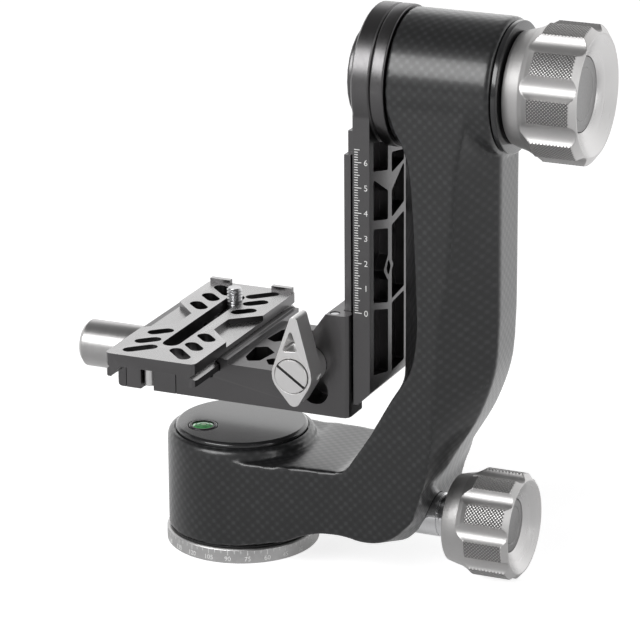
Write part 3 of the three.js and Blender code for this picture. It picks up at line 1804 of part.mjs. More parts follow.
function addPlate() {
  const halfLength = plateLength / 2;
  const notchLow = plateBottom + plateFootHeight;
  const notchHigh = plateTop - plateTopHeight;
  const notchMiddle = (notchLow + notchHigh) / 2;
  const section = [
    [plateLeft, plateBottom],
    [plateRight, plateBottom],
    [plateRight, notchLow],
    [plateRight - notchDepth, notchMiddle],
    [plateRight, notchHigh],
    [plateRight, plateTop],
    [plateLeft, plateTop],
    [plateLeft, notchHigh],
    [plateLeft + notchDepth, notchMiddle],
    [plateLeft, notchLow],
  ];
  const archTop = plateBottom + archRise;
  const arches = [-1, 1].map((side) => {
    const [near, far] = [halfLength - archRun, halfLength + cutOverrun].map((y) => side * y);
    return prism(
      "xz",
      [
        [plateLeft + archSide, plateBottom - cutOverrun],
        [plateRight - archSide, plateBottom - cutOverrun],
        [plateRight - archSide, plateBottom],
        [plateRight - archSide - archSlope, archTop],
        [plateLeft + archSide + archSlope, archTop],
        [plateLeft + archSide, plateBottom],
      ],
      Math.min(near, far),
      Math.max(near, far),
    );
  });
  const plan = prism(
    "xy",
    rounded(
      [
        [plateLeft, -halfLength],
        [plateRight, -halfLength],
        [plateRight, halfLength],
        [plateLeft, halfLength],
      ],
      plateCorner,
    ),
    plateBottom,
    plateTop,
  );
  const cameraSlot = prism(
    "xy",
    stadium(
      plateMiddle,
      -cameraSlotFront + cameraSlotWidth / 2,
      plateMiddle,
      cameraSlotRear,
      cameraSlotWidth,
    ),
    plateBottom - cutOverrun,
    plateTop + cutOverrun,
  );
  const channel = block(
    plateMiddle - channelWidth / 2,
    plateMiddle + channelWidth / 2,
    -cameraSlotFront - retainerLength / 2,
    cameraSlotRear + retainerLength / 2,
    plateBottom - cutOverrun,
    plateBottom + channelDepth,
  );
  const recesses = [-1, 1].map((side) => {
    const outline = sideRecessShares.map(([u, v]) => {
      const run = (u * plateWidth) / 2 + (u === 1 ? seatGap : 0);
      return [plateMiddle + side * run, side * v * halfLength];
    });
    return prism("xy", outline, plateTop - sideRecessDepth, plateTop + cutOverrun);
  });
  const pinGroove = prism(
    "xy",
    stadium(pinX, -pinGrooveFront, pinX, pinGrooveRear, 2 * pinStemRadius + 4 * seatGap),
    plateBottom - cutOverrun,
    plateBottom + pinGrooveDepth,
  );
  const lips = [plateLeft + lipSideInset, plateRight - lipSideInset - lipWidth].map((x) =>
    block(
      x,
      x + lipWidth,
      halfLength - lipInset - lipDepth,
      halfLength - lipInset,
      plateTop - plateTopHeight / 2,
      plateTop + lipHeight,
    ),
  );
  part(
    "qr_plate",
    "darkMetal",
    joined(
      cut(
        common(prism("xz", section, -halfLength, halfLength), plan),
        ...arches,
        cameraSlot,
        channel,
        ...plateSlots(),
        ...recesses,
        pinGroove,
      ),
      ...lips,
    ),
    0,
    plateRest,
  );
  addCameraScrew();
}

// Camera screw and the washer that keeps it in the plate's channel
function addCameraScrew() {
  const channelTop = plateBottom + channelDepth;
  const washerTop = channelTop - seatGap;
  const washerBottom = washerTop - retainerThickness;
  const headTop = washerBottom - seatGap;
  const headBottom = headTop - cameraScrewHeadHeight;
  part(
    "screw_retainer",
    "steel",
    prism(
      "xy",
      [
        [-channelWidth / 2 + seatGap, -retainerLength / 2],
        [channelWidth / 2 - seatGap, -retainerLength / 2],
        [channelWidth / 2 - seatGap, retainerLength / 2],
        [-channelWidth / 2 + seatGap, retainerLength / 2],
      ],
      washerBottom,
      washerTop,
      [stadium(0, 0, seatGap, 0, 2 * (cameraScrewRadius + seatGap))],
    ),
    plateMiddle,
    cameraScrewRest,
  );
  part(
    "camera_screw",
    "steel",
    cut(
      turned(
        "z",
        [
          [0, headBottom],
          [cameraScrewHeadRadius, headBottom],
          [cameraScrewHeadRadius, headTop],
          [cameraScrewRadius, headTop],
          [cameraScrewRadius, plateTop + cameraScrewProud - cameraScrewTip],
          [cameraScrewRadius - cameraScrewTip, plateTop + cameraScrewProud],
          [0, plateTop + cameraScrewProud],
        ],
        middleSides,
      ),
      block(
        -cameraScrewHeadRadius - cutOverrun,
        cameraScrewHeadRadius + cutOverrun,
        -cameraScrewSlot / 2,
        cameraScrewSlot / 2,
        headBottom - cutOverrun,
        headBottom + cameraScrewSlot,
      ),
    ),
    plateMiddle,
    cameraScrewRest,
  );
}

addBase();
addDrumFittings();
addArm();
addTiltFittings();
addPanLock();
addKnobs();
addSwingArm();
addBracket();
addClamp();
addLever();
addPlate();

export default head;
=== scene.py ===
import json
import math

import bmesh
import bpy
import numpy as np
from mathutils import Matrix, Vector


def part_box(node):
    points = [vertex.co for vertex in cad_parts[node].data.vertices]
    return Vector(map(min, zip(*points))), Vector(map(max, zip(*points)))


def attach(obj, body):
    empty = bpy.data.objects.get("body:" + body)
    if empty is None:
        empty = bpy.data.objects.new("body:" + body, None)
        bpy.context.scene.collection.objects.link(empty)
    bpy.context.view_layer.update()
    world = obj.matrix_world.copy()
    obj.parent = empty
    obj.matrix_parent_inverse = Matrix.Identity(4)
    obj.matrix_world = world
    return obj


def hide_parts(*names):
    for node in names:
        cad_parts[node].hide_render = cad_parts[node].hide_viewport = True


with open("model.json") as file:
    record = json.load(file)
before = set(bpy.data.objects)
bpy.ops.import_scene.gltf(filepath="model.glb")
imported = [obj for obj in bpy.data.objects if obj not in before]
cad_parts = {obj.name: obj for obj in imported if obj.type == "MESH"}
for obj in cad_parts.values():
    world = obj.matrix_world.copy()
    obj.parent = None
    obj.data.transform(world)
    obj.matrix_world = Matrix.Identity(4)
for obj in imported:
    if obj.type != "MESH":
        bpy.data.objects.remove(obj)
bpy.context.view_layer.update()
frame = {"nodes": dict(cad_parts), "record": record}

MM = 0.001
scene = bpy.context.scene
nodes = frame["nodes"]
bodies = frame["record"]["behaviour"]["bodies"]
body_of_node = {name: body for body, names in bodies.items() for name in names}
slot_of = {row["node"]: row["material_slot"] for row in frame["record"]["subparts"]}


def box_mm(node):
    low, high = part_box(node)
    return [v / MM for v in low], [v / MM for v in high]


def middle_mm(node):
    return [(a + b) / 2 for a, b in zip(*box_mm(node))]


# ---------------------------------------------------------------- node trees
class Tree:
    """A node tree with short ways to add nodes and join them."""

    def __init__(self, tree):
        self.tree = tree

    def node(self, kind, **inputs):
        made = self.tree.nodes.new(kind)
        for key, value in inputs.items():
            made.inputs[key.replace("_", " ")].default_value = value
        return made

    def link(self, source, target):
        self.tree.links.new(source, target)

    def math(self, kind, first, second=None):
        made = self.node("ShaderNodeMath")
        made.operation = kind
        for socket, value in zip(made.inputs, (first, second)):
            if isinstance(value, (int, float)):
                socket.default_value = value
            elif value is not None:
                self.link(value, socket)
        return made.outputs[0]

    def mapped(self, value, source, target):
        """A value drawn from one range onto another, held at its ends."""
        made = self.node(
            "ShaderNodeMapRange", From_Min=source[0], From_Max=source[1], To_Min=target[0], To_Max=target[1]
        )
        self.link(value, made.inputs["Value"])
        return made.outputs["Result"]

    def place(self, kind):
        """The separate X, Y and Z of a texture coordinate."""
        split = self.node("ShaderNodeSeparateXYZ")
        self.link(self.node("ShaderNodeTexCoord").outputs[kind], split.inputs[0])
        return split.outputs


# ---------------------------------------------------------------- camera, floor and light
PHOTO_WIDTH = 640  # pixels
FOCAL_LENGTH = 3663.3  # pixels
SENSOR_WIDTH = 36
CAMERA_TURN = (23.874, 18.939, -0.391)  # azimuth, elevation and roll in degrees
CAMERA_TARGET = (34.455, 0, 96.22)
CAMERA_DISTANCE = 1437.7
LIGHT_TARGET = (0.05, 0, 0.12)  # metres
FLOOR_HALF = 6  # metres
FLOOR_COLOUR = (0.62, 0.62, 0.624, 1)
FLOOR_LIFT = 0.76  # brings the floor to white where the camera sees it


def set_camera():
    azimuth, elevation, roll = (math.radians(angle) for angle in CAMERA_TURN)
    level = Vector((math.cos(azimuth), math.sin(azimuth), 0))
    flat = math.cos(elevation)
    ahead = Vector((-math.sin(azimuth) * flat, math.cos(azimuth) * flat, -math.sin(elevation)))
    upright = level.cross(ahead)
    right = level * math.cos(roll) + upright * math.sin(roll)
    up = upright * math.cos(roll) - level * math.sin(roll)
    data = bpy.data.cameras.new("camera")
    data.sensor_fit = "HORIZONTAL"
    data.sensor_width = SENSOR_WIDTH
    data.lens = FOCAL_LENGTH / PHOTO_WIDTH * SENSOR_WIDTH
    data.clip_start, data.clip_end = 0.05, 50
    camera = bpy.data.objects.new("camera", data)
    scene.collection.objects.link(camera)
    place = Matrix((right, up, -ahead)).transposed().to_4x4()
    place.translation = Vector(CAMERA_TARGET) * MM - ahead * CAMERA_DISTANCE * MM
    camera.matrix_world = place
    scene.camera = camera


def area_light(name, place, size, power):
    data = bpy.data.lights.new(name, "AREA")
    data.shape = "RECTANGLE"
    data.size, data.size_y = size
    data.energy = power
    lamp = bpy.data.objects.new(name, data)
    lamp.location = place
    lamp.rotation_euler = (Vector(LIGHT_TARGET) - Vector(place)).to_track_quat("-Z", "Y").to_euler()
    scene.collection.objects.link(lamp)


def set_world():
    world = bpy.data.worlds.new("studio")
    world.use_nodes = True
    world.node_tree.nodes.clear()
    look = Tree(world.node_tree)
    seen = look.node("ShaderNodeBackground", Color=(1, 1, 1, 1), Strength=1)
    fill = look.node("ShaderNodeBackground", Strength=1)
    # a white backdrop behind the object, dimmer in front of it and overhead
    where = look.place("Generated")
    depth = look.mapped(where["Y"], (-0.4, 0.8), (0.3, 1.4))
    height = look.mapped(where["Z"], (0.42, 0.66), (1, 0.2))
    look.link(look.math("MULTIPLY", depth, height), fill.inputs["Color"])
    rays = look.node("ShaderNodeLightPath").outputs
    mix = look.node("ShaderNodeMixShader")
    look.link(look.math("MAXIMUM", rays["Is Camera Ray"], rays["Is Transmission Ray"]), mix.inputs[0])
    look.link(fill.outputs[0], mix.inputs[1])
    look.link(seen.outputs[0], mix.inputs[2])
    look.link(mix.outputs[0], look.node("ShaderNodeOutputWorld").inputs["Surface"])
    scene.world = world


def set_stage():
    mesh = bpy.data.meshes.new("floor")
    corners = [(-1, -1), (1, -1), (1, 1), (-1, 1)]
    mesh.from_pydata([(x * FLOOR_HALF, y * FLOOR_HALF, 0) for x, y in corners], [], [(0, 1, 2, 3)])
    floor = bpy.data.objects.new("floor", mesh)
    scene.collection.objects.link(floor)
    material = bpy.data.materials.new("floor")
    material.use_nodes = True
    material.node_tree.nodes.clear()
    look = Tree(material.node_tree)
    plain = look.node("ShaderNodeBsdfDiffuse", Color=FLOOR_COLOUR)
    glow = look.node("ShaderNodeEmission")
    rays = look.node("ShaderNodeLightPath").outputs
    # metal sees the white sweep behind the object and a dimmer floor in front of it
    sweep = look.mapped(look.place("Object")["Y"], (-0.05, 0.15), (0.05, 1))
    mirrored = look.math("MULTIPLY", rays["Is Glossy Ray"], sweep)
    direct = look.math("MAXIMUM", mirrored, rays["Is Camera Ray"])
    look.link(look.math("MULTIPLY", direct, FLOOR_LIFT), glow.inputs["Strength"])
    both = look.node("ShaderNodeAddShader")
    look.link(plain.outputs[0], both.inputs[0])
    look.link(glow.outputs[0], both.inputs[1])
    look.link(both.outputs[0], look.node("ShaderNodeOutputMaterial").inputs["Surface"])
    mesh.materials.append(material)


set_camera()
set_world()
set_stage()
area_light("key", (-0.55, -1.35, 1.05), (1.3, 0.9), 23)
area_light("side", (1.5, -0.3, 0.6), (0.6, 1.0), 4)


# ---------------------------------------------------------------- materials
def shaded(colour, share):
    return tuple(c * share for c in colour)


class Look(Tree):
    """A material with its node tree at hand."""

    def __init__(self, name, **values):
        self.material = bpy.data.materials.new(name)
        self.material.use_nodes = True
        super().__init__(self.material.node_tree)
        self.shader = self.tree.nodes["Principled BSDF"]
        self.set(**values)

    def set(self, **values):
        for key, value in values.items():
            self.shader.inputs[key.replace("_", " ")].default_value = value

    def scaled(self, source, scale):
        sized = self.node("ShaderNodeMapping", Scale=scale)
        self.link(source, sized.inputs["Vector"])
        return sized.outputs["Vector"]

    def millimetres(self, scale=(1, 1, 1)):
        where = self.node("ShaderNodeTexCoord").outputs["Object"]
        return self.scaled(where, [s / MM for s in scale])

    def noise(self, vector, scale, detail=3.0, roughness=0.55):
        made = self.node("ShaderNodeTexNoise", Scale=scale, Detail=detail, Roughness=roughness)
        self.link(vector, made.inputs["Vector"])
        return made.outputs["Fac"]

    def ramp(self, value, stops):
        made = self.node("ShaderNodeValToRGB")
        while len(made.color_ramp.elements) < len(stops):
            made.color_ramp.elements.new(0.5)
        for element, (place, colour) in zip(made.color_ramp.elements, stops):
            element.position = place
            element.color = (*colour, 1) if isinstance(colour, tuple) else (colour, colour, colour, 1)
        self.link(value, made.inputs["Fac"])
        return made.outputs["Color"]

    def blend(self, parts):
        """The sum of values, each times its share."""
        total = None
        for value, share in parts:
            part = self.math("MULTIPLY", value, share)
            total = part if total is None else self.math("ADD", total, part)
        return total

    def bump(self, height, strength, distance, normal=None):
        made = self.node("ShaderNodeBump", Strength=strength, Distance=distance * MM)
        self.link(height, made.inputs["Height"])
        if normal is not None:
            self.link(normal, made.inputs["Normal"])
        return made.outputs["Normal"]

    def finish(self, colour, roughness=None, normal=None):
        sockets = (("Base Color", colour), ("Roughness", roughness), ("Normal", normal))
        for name, value in sockets:
            if value is not None:
                self.link(value, self.shader.inputs[name])
        return self.material


def blasted_metal(name, colour, rough, grain=0.06, spread=0.06):
    """Bead-blasted or anodised metal: fine grain in colour, gloss and height, and lighter edges, partly
    wear and partly a painted edge highlight.
    """
    look = Look(name, Metallic=1.0)
    place = look.millimetres()
    fine = look.noise(place, 5.5, 2.0, 0.6)
    cloud = look.noise(place, 0.09)
    light = tuple(min(1, c) for c in shaded(colour, 1 + spread))
    tone = look.blend([(fine, 0.5), (cloud, 0.5)])
    shade = look.ramp(tone, [(0.3, shaded(colour, 1 - spread)), (0.7, light)])
    # painted highlight with wear: sharp edges, found by pointiness, are mixed towards a lighter colour
    edge_wear_and_sheen = look.node("ShaderNodeNewGeometry")
    edge = look.ramp(edge_wear_and_sheen.outputs["Pointiness"], [(0.52, 0.0), (0.62, 1.0)])
    mix = look.node("ShaderNodeMix")
    mix.data_type = "RGBA"
    factor, first, second, mixed = mix.inputs["Factor"], mix.inputs[6], mix.inputs[7], mix.outputs[2]
    look.link(look.math("MULTIPLY", edge, 0.25), factor)
    look.link(shade, first)
    second.default_value = (*[min(1, c * 1.5 + 0.03) for c in colour], 1)
    gloss = look.ramp(look.noise(place, 1.4, 4.0), [(0.3, rough - 0.05), (0.7, rough + 0.05)])
    return look.finish(mixed, gloss, look.bump(fine, grain, 0.06))


def turned_metal(name, colour, rough, axis, lines=3.2, depth=0.12):
    """Lathe-turned metal: fine lines round one axis."""
    look = Look(name, Metallic=1.0)
    stretch = [0.02, 0.02, 0.02]
    stretch["xyz".index(axis)] = 1
    line = look.noise(look.millimetres(stretch), lines, 2.0, 0.7)
    grain = look.noise(look.millimetres(), 6.0, 2.0)
    both = look.blend([(line, 0.6), (grain, 0.4)])
    shade = look.ramp(both, [(0.3, shaded(colour, 0.94)), (0.7, colour)])
    gloss = look.ramp(line, [(0.3, rough - 0.04), (0.7, rough + 0.06)])
    return look.finish(shade, gloss, look.bump(both, depth, 0.05))


def weave_material():
    """Plain carbon weave under satin lacquer, from the weave map, whose unit is one tow."""
    look = Look("carbon_weave", Metallic=0.0, Specular_IOR_Level=0.4, Coat_Weight=0.7, Coat_Roughness=0.22)
    uv = look.node("ShaderNodeUVMap")
    uv.uv_map = "weave"
    tows = uv.outputs["UV"]
    split = look.node("ShaderNodeSeparateXYZ")
    look.link(tows, split.inputs[0])
    wave = [look.math("SINE", look.math("MULTIPLY", split.outputs[i], math.pi)) for i in (0, 1)]
    over = look.math("ADD", look.math("MULTIPLY", look.math("MULTIPLY", *wave), 0.5), 0.5)
    patch = look.node("ShaderNodeTexNoise", Scale=0.35, Detail=2.0)
    look.link(tows, patch.inputs["Vector"])
    strand = look.noise(look.scaled(tows, (9, 1.2, 1)), 1.5, 2.0)
    speck = look.noise(look.millimetres(), 2.6, 2.0, 0.7)
    cloud = look.math("ADD", look.math("MULTIPLY", patch.outputs["Fac"], 0.9), 0.5)
    amount = look.math("MULTIPLY", look.blend([(over, 0.6), (strand, 0.16), (speck, 0.24)]), cloud)
    gap, tow, crest = (0.01, 0.0102, 0.0107), (0.014, 0.0143, 0.015), (0.032, 0.0324, 0.034)
    shade = look.ramp(amount, [(0.2, gap), (0.5, tow), (0.85, crest)])
    gloss = look.ramp(look.blend([(over, 0.5), (speck, 0.5)]), [(0.2, 0.46), (0.8, 0.36)])
    relief = look.bump(over, 0.3, 0.1)
    return look.finish(shade, gloss, look.bump(speck, 0.12, 0.08, relief))


def painted(name, colour, rough, scale=4.0, darkest=0.95, play=0.04, height=0.05, **coat):
    """Paint, lacquer or plastic with a faint unevenness."""
    look = Look(name, Metallic=0.0, **coat)
    grain = look.noise(look.millimetres(), scale, 2.0)
    shade = look.ramp(grain, [(0.3, shaded(colour, darkest)), (0.7, colour)])
    gloss = look.ramp(grain, [(0.3, rough - play), (0.7, rough + play)])
    return look.finish(shade, gloss, look.bump(grain, height, 0.03))


def liquid_material():
    look = Look("level_liquid_look", Metallic=0.0, Roughness=0.08, Coat_Weight=1.0, Coat_Roughness=0.03)
    depth = look.noise(look.millimetres(), 0.5, 1.0)
    return look.finish(look.ramp(depth, [(0.3, (0.05, 0.46, 0.1)), (0.7, (0.13, 0.7, 0.2))]))


silver = blasted_metal("satin_silver", (0.58, 0.572, 0.568), 0.48, grain=0.05, spread=0.03)
# painted shade: a darker copy of the satin silver for the slopes of the knurl's grooves
groove_shade = blasted_metal("knurl_groove_painted_shade", (0.33, 0.325, 0.323), 0.5, grain=0.05, spread=0.03)
lever_metal = blasted_metal("lever_silver", (0.83, 0.82, 0.815), 0.4, grain=0.03, spread=0.02)
# painted light: a lighter, glossier copy of the anodised metal, given only to the plate's top
plate_top_lit = blasted_metal("plate_anodised_lit_top", (0.38, 0.376, 0.377), 0.28, grain=0.012, spread=0.04)
dark = blasted_metal("dark_anodised", (0.135, 0.132, 0.134), 0.33, grain=0.08)
disc_metal = blasted_metal("blasted_disc", (0.27, 0.267, 0.267), 0.38, grain=0.06, spread=0.04)
dish_metal = turned_metal("turned_dish", (0.58, 0.573, 0.57), 0.3, "x", lines=2.6, depth=0.1)
base_metal = turned_metal("base_silver", (0.64, 0.635, 0.632), 0.42, "z", lines=2.2)
clamp_metal = turned_metal("clamp_silver", (0.54, 0.533, 0.53), 0.36, "x", lines=2.0, depth=0.06)
steel_x = turned_metal("steel_x", (0.55, 0.55, 0.56), 0.28, "x")
steel_y = turned_metal("steel_y", (0.62, 0.61, 0.61), 0.28, "y")
steel_z = turned_metal("steel_z", (0.55, 0.55, 0.56), 0.28, "z")
chrome = turned_metal("chrome", (0.86, 0.86, 0.87), 0.07, "x", lines=2.0, depth=0.03)
brass = turned_metal("brass_turned", (0.6, 0.43, 0.17), 0.32, "x")
glossy = painted(
    "gloss_black", (0.02, 0.02, 0.021), 0.22, scale=3.0, darkest=0.85, play=0.03, height=0.03,
    Coat_Weight=0.5, Coat_Roughness=0.12,
)
white = painted("white_paint", (0.82, 0.82, 0.81), 0.5)
pale = painted("pale_marks", (0.95, 0.95, 0.94), 0.5)
plastic = painted("washer_plastic_look", (0.025, 0.025, 0.027), 0.45)
bubble = painted("bubble", (0.45, 0.78, 0.45), 0.1)
liquid = liquid_material()
carbon = weave_material()


# ---------------------------------------------------------------- mesh helpers, in millimetres
SMOOTH_ANGLE = 35


def add_object(name, mesh, material, body, smooth_angle=SMOOTH_ANGLE, stands_for=()):
    mesh.materials.clear()
    mesh.materials.append(material)
    mesh.shade_smooth()
    if smooth_angle is not None:
        mesh.set_sharp_from_angle(angle=math.radians(smooth_angle))
    made = bpy.data.objects.new(name, mesh)
    scene.collection.objects.link(made)
    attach(made, body)
    if stands_for:
        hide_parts(*stands_for)
    return made


def add_mesh(name, points, faces, material, body, smooth_angle=SMOOTH_ANGLE, stands_for=(), slot=None):
    mesh = bpy.data.meshes.new(name)
    mesh.from_pydata([tuple(c * MM for c in p) for p in points], [], faces)
    mesh.validate()
    mesh.update()
    return add_object(name, mesh, material, body, smooth_angle, stands_for)


def face_out(mesh):
    """Joins doubled points and turns every face outwards."""
    work = bmesh.new()
    work.from_mesh(mesh)
    bmesh.ops.remove_doubles(work, verts=work.verts, dist=1e-7)
    bmesh.ops.recalc_face_normals(work, faces=work.faces)
    work.to_mesh(mesh)
    work.free()


def raw_mesh(name, shells):
    """One mesh of several closed shells of points and faces."""
    points, faces = [], []
    for more_points, more_faces in shells:
        shift = len(points)
        points += [tuple(c * MM for c in p) for p in more_points]
        faces += [tuple(v + shift for v in face) for face in more_faces]
    mesh = bpy.data.meshes.new(name)
    mesh.from_pydata(points, [], faces)
    face_out(mesh)
    return mesh


def quad(low, high, i, j):
    return low + i, low + j, high + j, high + i


def grid_faces(rows, sides):
    """The faces between closed rows of points that follow one another."""
    return [
        quad(row * sides, (row + 1) * sides, i, (i + 1) % sides)
        for row in range(rows - 1)
        for i in range(sides)
    ]


def on_axis(axis, radius, angle, along):
    """A point at a radius and angle round an axis."""
    c, s = radius * math.cos(angle), radius * math.sin(angle)
    return {"x": (along, c, s), "y": (c, along, s), "z": (c, s, along)}[axis]


def moved(point, shift):
    return tuple(a + b for a, b in zip(point, shift))


def soft_profile(profile, radius, steps=3):
    """Rounds the corners of an open profile of (radius, along) points."""
    out = [profile[0]]
    for corner in zip(profile, profile[1:], profile[2:]):
        a, b, c = (np.array(p, float) for p in corner)
        to_a, to_c = np.linalg.norm(a - b), np.linalg.norm(c - b)
        if min(to_a, to_c) < 1e-6:
            continue
        reach = min(radius, to_a * 0.45, to_c * 0.45)
        p, q = b + (a - b) / to_a * reach, b + (c - b) / to_c * reach
        for i in range(steps + 1):
            t = i / steps
            out.append(tuple((1 - t) ** 2 * p + 2 * t * (1 - t) * b + t ** 2 * q))
    out.append(profile[-1])
    return out


def lathe(name, axis, profile, centre, material, body, sides=160, edge=0.25, stands_for=(), slot=None):
    """A revolved, edge-softened profile. The profile is closed when it ends where it began."""
    closed = profile[0] == profile[-1]
    ring = soft_profile(profile, edge)
    if closed:
        ring = ring[:-1]
    points, faces, rows = [], [], []
    for radius, along in ring:
        count = 1 if radius < 1e-6 else sides
        rows.append(list(range(len(points), len(points) + count)))
        for i in range(count):
            turn = 2 * math.pi * i / sides
            points.append(moved(on_axis(axis, 0 if count == 1 else radius, turn, along), centre))
    pairs = list(zip(rows, rows[1:])) + ([(rows[-1], rows[0])] if closed else [])
    for one, two in pairs:
        for i in range(sides):
            j = (i + 1) % sides
            face = (one[i % len(one)], one[j % len(one)], two[j % len(two)], two[i % len(two)])
            face = tuple(dict.fromkeys(face))
            if len(face) > 2:
                faces.append(face)
    made = add_mesh(name, points, faces, material, body, stands_for=stands_for, slot=slot)
    face_out(made.data)
    made.data.set_sharp_from_angle(angle=math.radians(SMOOTH_ANGLE))
    return made


def turned_shell(axis, profile, centre=(0, 0, 0), sides=128):
    """Points and faces of a solid turned from an open profile of (radius, along) points."""
    points = [
        moved(on_axis(axis, radius, 2 * math.pi * i / sides, along), centre)
        for radius, along in profile
        for i in range(sides)
    ]
    last = len(points) - sides
    ends = [tuple(range(sides)), tuple(reversed(range(last, len(points))))]
    return points, grid_faces(len(profile), sides) + ends


def cylinder(axis, radius, start, end, centre=(0, 0, 0), sides=128):
    return turned_shell(axis, [(radius, start), (radius, end)], centre, sides)


def soft_end(radius, end, width, length, steps=8):
    """A rounded end of a profile, as the CAD draws it."""
    shares = [i / steps for i in range(steps + 1)]
    return [(radius - width * t ** 2, end - length * (1 - t) ** 2) for t in shares]


def closed_loft(sections):
    """Points and faces of a closed skin through outlines of equal length, each at its own depth."""
    count = len(sections[0][1])
    points = [(x, y, z) for y, outline in sections for x, z in outline]
    last = len(points) - count
    ends = [tuple(range(count)), tuple(reversed(range(last, len(points))))]
    return points, grid_faces(len(sections), count) + ends


BLOCK_FACES = ((0, 3, 2, 1), (4, 5, 6, 7), (0, 1, 5, 4), (1, 2, 6, 5), (2, 3, 7, 6), (3, 0, 4, 7))


def thin_blocks(blocks):
    """Closed blocks from (corner, side a, side b, thickness vector)."""
    points, faces = [], []
    for block in blocks:
        base = len(points)
        corner, a, b, t = (np.array(v, float) for v in block)
        foot = (corner, corner + a, corner + a + b, corner + b)
        points += [tuple(p + w * t) for w in (0, 1) for p in foot]
        faces += [tuple(base + k for k in face) for face in BLOCK_FACES]
    return points, faces


def applied(made):
    """The object's mesh with its modifiers in it."""
    graph = bpy.context.evaluated_depsgraph_get()
    return bpy.data.meshes.new_from_object(made.evaluated_get(graph))


def scratch(name, data):
    made = bpy.data.objects.new(name, data)
    scene.collection.objects.link(made)
    return made


def subtract(mesh, cutter_mesh):
    """One mesh less another."""
    body, cutter = scratch("cut_body", mesh), scratch("cutter", cutter_mesh)
    cut = body.modifiers.new("cut", "BOOLEAN")
    cut.operation = "DIFFERENCE"
    cut.solver = "MANIFOLD"
    cut.object = cutter
    result = applied(body)
    bpy.data.objects.remove(body)
    bpy.data.objects.remove(cutter)
    return result


def second_material(made, material, chosen):
    """Gives another material to the faces that chosen picks."""
    made.data.materials.append(material)
    for side in made.data.polygons:
        side.material_index = 1 if chosen(side) else 0


def copied(node, name, material, bevel, angle=32, segments=2):
    """A copy of a CAD node's shape with soft edges, standing for it."""
    work = bmesh.new()
    work.from_mesh(nodes[node].data)
    bmesh.ops.remove_doubles(work, verts=work.verts, dist=2e-6)
    bmesh.ops.dissolve_limit(work, angle_limit=math.radians(0.6), verts=work.verts, edges=work.edges)
    bmesh.ops.recalc_face_normals(work, faces=work.faces)
    mesh = bpy.data.meshes.new(name)
    work.to_mesh(mesh)
    work.free()
    made = add_object(
        name, mesh, material, body_of_node[node],
        smooth_angle=None, stands_for=(node,),
    )
    soft = made.modifiers.new("soft_edges", "BEVEL")
    soft.width = bevel * MM
    soft.segments = segments
    soft.limit_method = "ANGLE"
    soft.angle_limit = math.radians(angle)
    soft.use_clamp_overlap = True
    soft.harden_normals = False
    soft.miter_outer = "MITER_ARC"
    even = made.modifiers.new("even_shading", "WEIGHTED_NORMAL")
    even.keep_sharp = True
    even.weight = 80
    return made


# ---------------------------------------------------------------- moulded arm
REACH, TILT = 113.5, 199.5
FACET_INNER = [
    (0.66, 1), (0.664, 0.94), (0.704, 0.896), (0.73, 0.845), (0.746, 0.74), (0.757, 0.6), (0.758, 0.52),
    (0.738, 0.456), (0.699, 0.417), (0.662, 0.385), (0.588, 0.311), (0.52, 0.25),
]
BAND_INNER = [
    (0.66, 1), (0.66, 0.94), (0.658, 0.896), (0.657, 0.845), (0.657, 0.74), (0.657, 0.6), (0.657, 0.52),
    (0.657, 0.45), (0.655, 0.405), (0.645, 0.375), (0.588, 0.311), (0.52, 0.25),
]
SADDLE = [
    (0.5, 0.232), (0.47, 0.222), (0.42, 0.22), (0.32, 0.22), (0.26, 0.2185), (0.225, 0.2165),
    (0.04, 0.2165),
]
FACET_OUTER = [
    (0.725, 0.131), (0.742, 0.143), (0.76, 0.18), (0.782, 0.216), (0.798, 0.262), (0.81, 0.33), (0.82, 0.4),
    (0.835, 0.545), (0.86, 0.627), (0.877, 0.747), (0.894, 0.865), (0.921, 0.944), (0.936, 1),
]
BAND_OUTER = [
    (0.727, 0.115), (0.742, 0.143), (0.76, 0.18), (0.795, 0.216), (0.85, 0.27), (0.93, 0.35), (0.984, 0.44),
    (0.998, 0.53), (1, 0.6), (1, 0.7), (1, 0.865), (1, 0.944), (1, 1),
]
# beside the drum the underside lies a little higher than in the CAD, so that the base ring shows
FACET_UNDER = [
    (0.04, 0.037), (0.12, 0.041), (0.19, 0.05), (0.26, 0.059), (0.3, 0.068), (0.34, 0.078), (0.4, 0.087),
    (0.48, 0.089), (0.55, 0.083), (0.61, 0.086), (0.66, 0.098), (0.7, 0.116),
]
BAND_UNDER = [
    (0.04, 0.037), (0.12, 0.037), (0.19, 0.038), (0.26, 0.045), (0.3, 0.056), (0.34, 0.063), (0.4, 0.069),
    (0.48, 0.068), (0.55, 0.062), (0.62, 0.0625), (0.665, 0.07), (0.702, 0.09),
]
INNER_STEPS, SADDLE_STEPS, UNDER_STEPS, OUTER_STEPS = 90, 36, 60, 80
FACET_Y, BAND_Y = 26.0, 9.5
LINK_HALF, LINK_END = 29.6, 50.0
DRUM_R, DRUM_LOW, DRUM_TOP = 29.8, 7.2, 47.5
DRUM_SHOULDER = (2.5, 4)
HOUSING_R, HOUSING_X0, HOUSING_X1 = 26.5, 72.9, 114.4
HOUSING_SHOULDER = (1.2, 2.6)
PAN_LOCK_Z = 22.5
BORES = [  # what the bore is for, axis, radius, start, end, height of its axis and sides
    ("pan_cap", "z", 27.1, 46.5, 60, 0, 128),
    ("pan_spindle", "z", 12.9, 0, 47, 0, 128),
    ("pan_bearing", "z", 19.3, 0, 14.8, 0, 128),
    ("pan_lock_sleeve", "x", 9.05, 70, 130, PAN_LOCK_Z, 128),
    ("pan_lock_screw", "x", 3.9, 5, 71, PAN_LOCK_Z, 48),
    ("tilt_bearing_inner", "x", 19.3, 60, 81, TILT, 128),
    ("tilt_shaft", "x", 10.9, 60, 130, TILT, 128),
    ("tilt_bearing_outer", "x", 19.3, 100, 130, TILT, 128),
]
VOXEL, QUICK_VOXEL = 0.8, 1.2
TOW = 2.05  # width of one tow of the weave


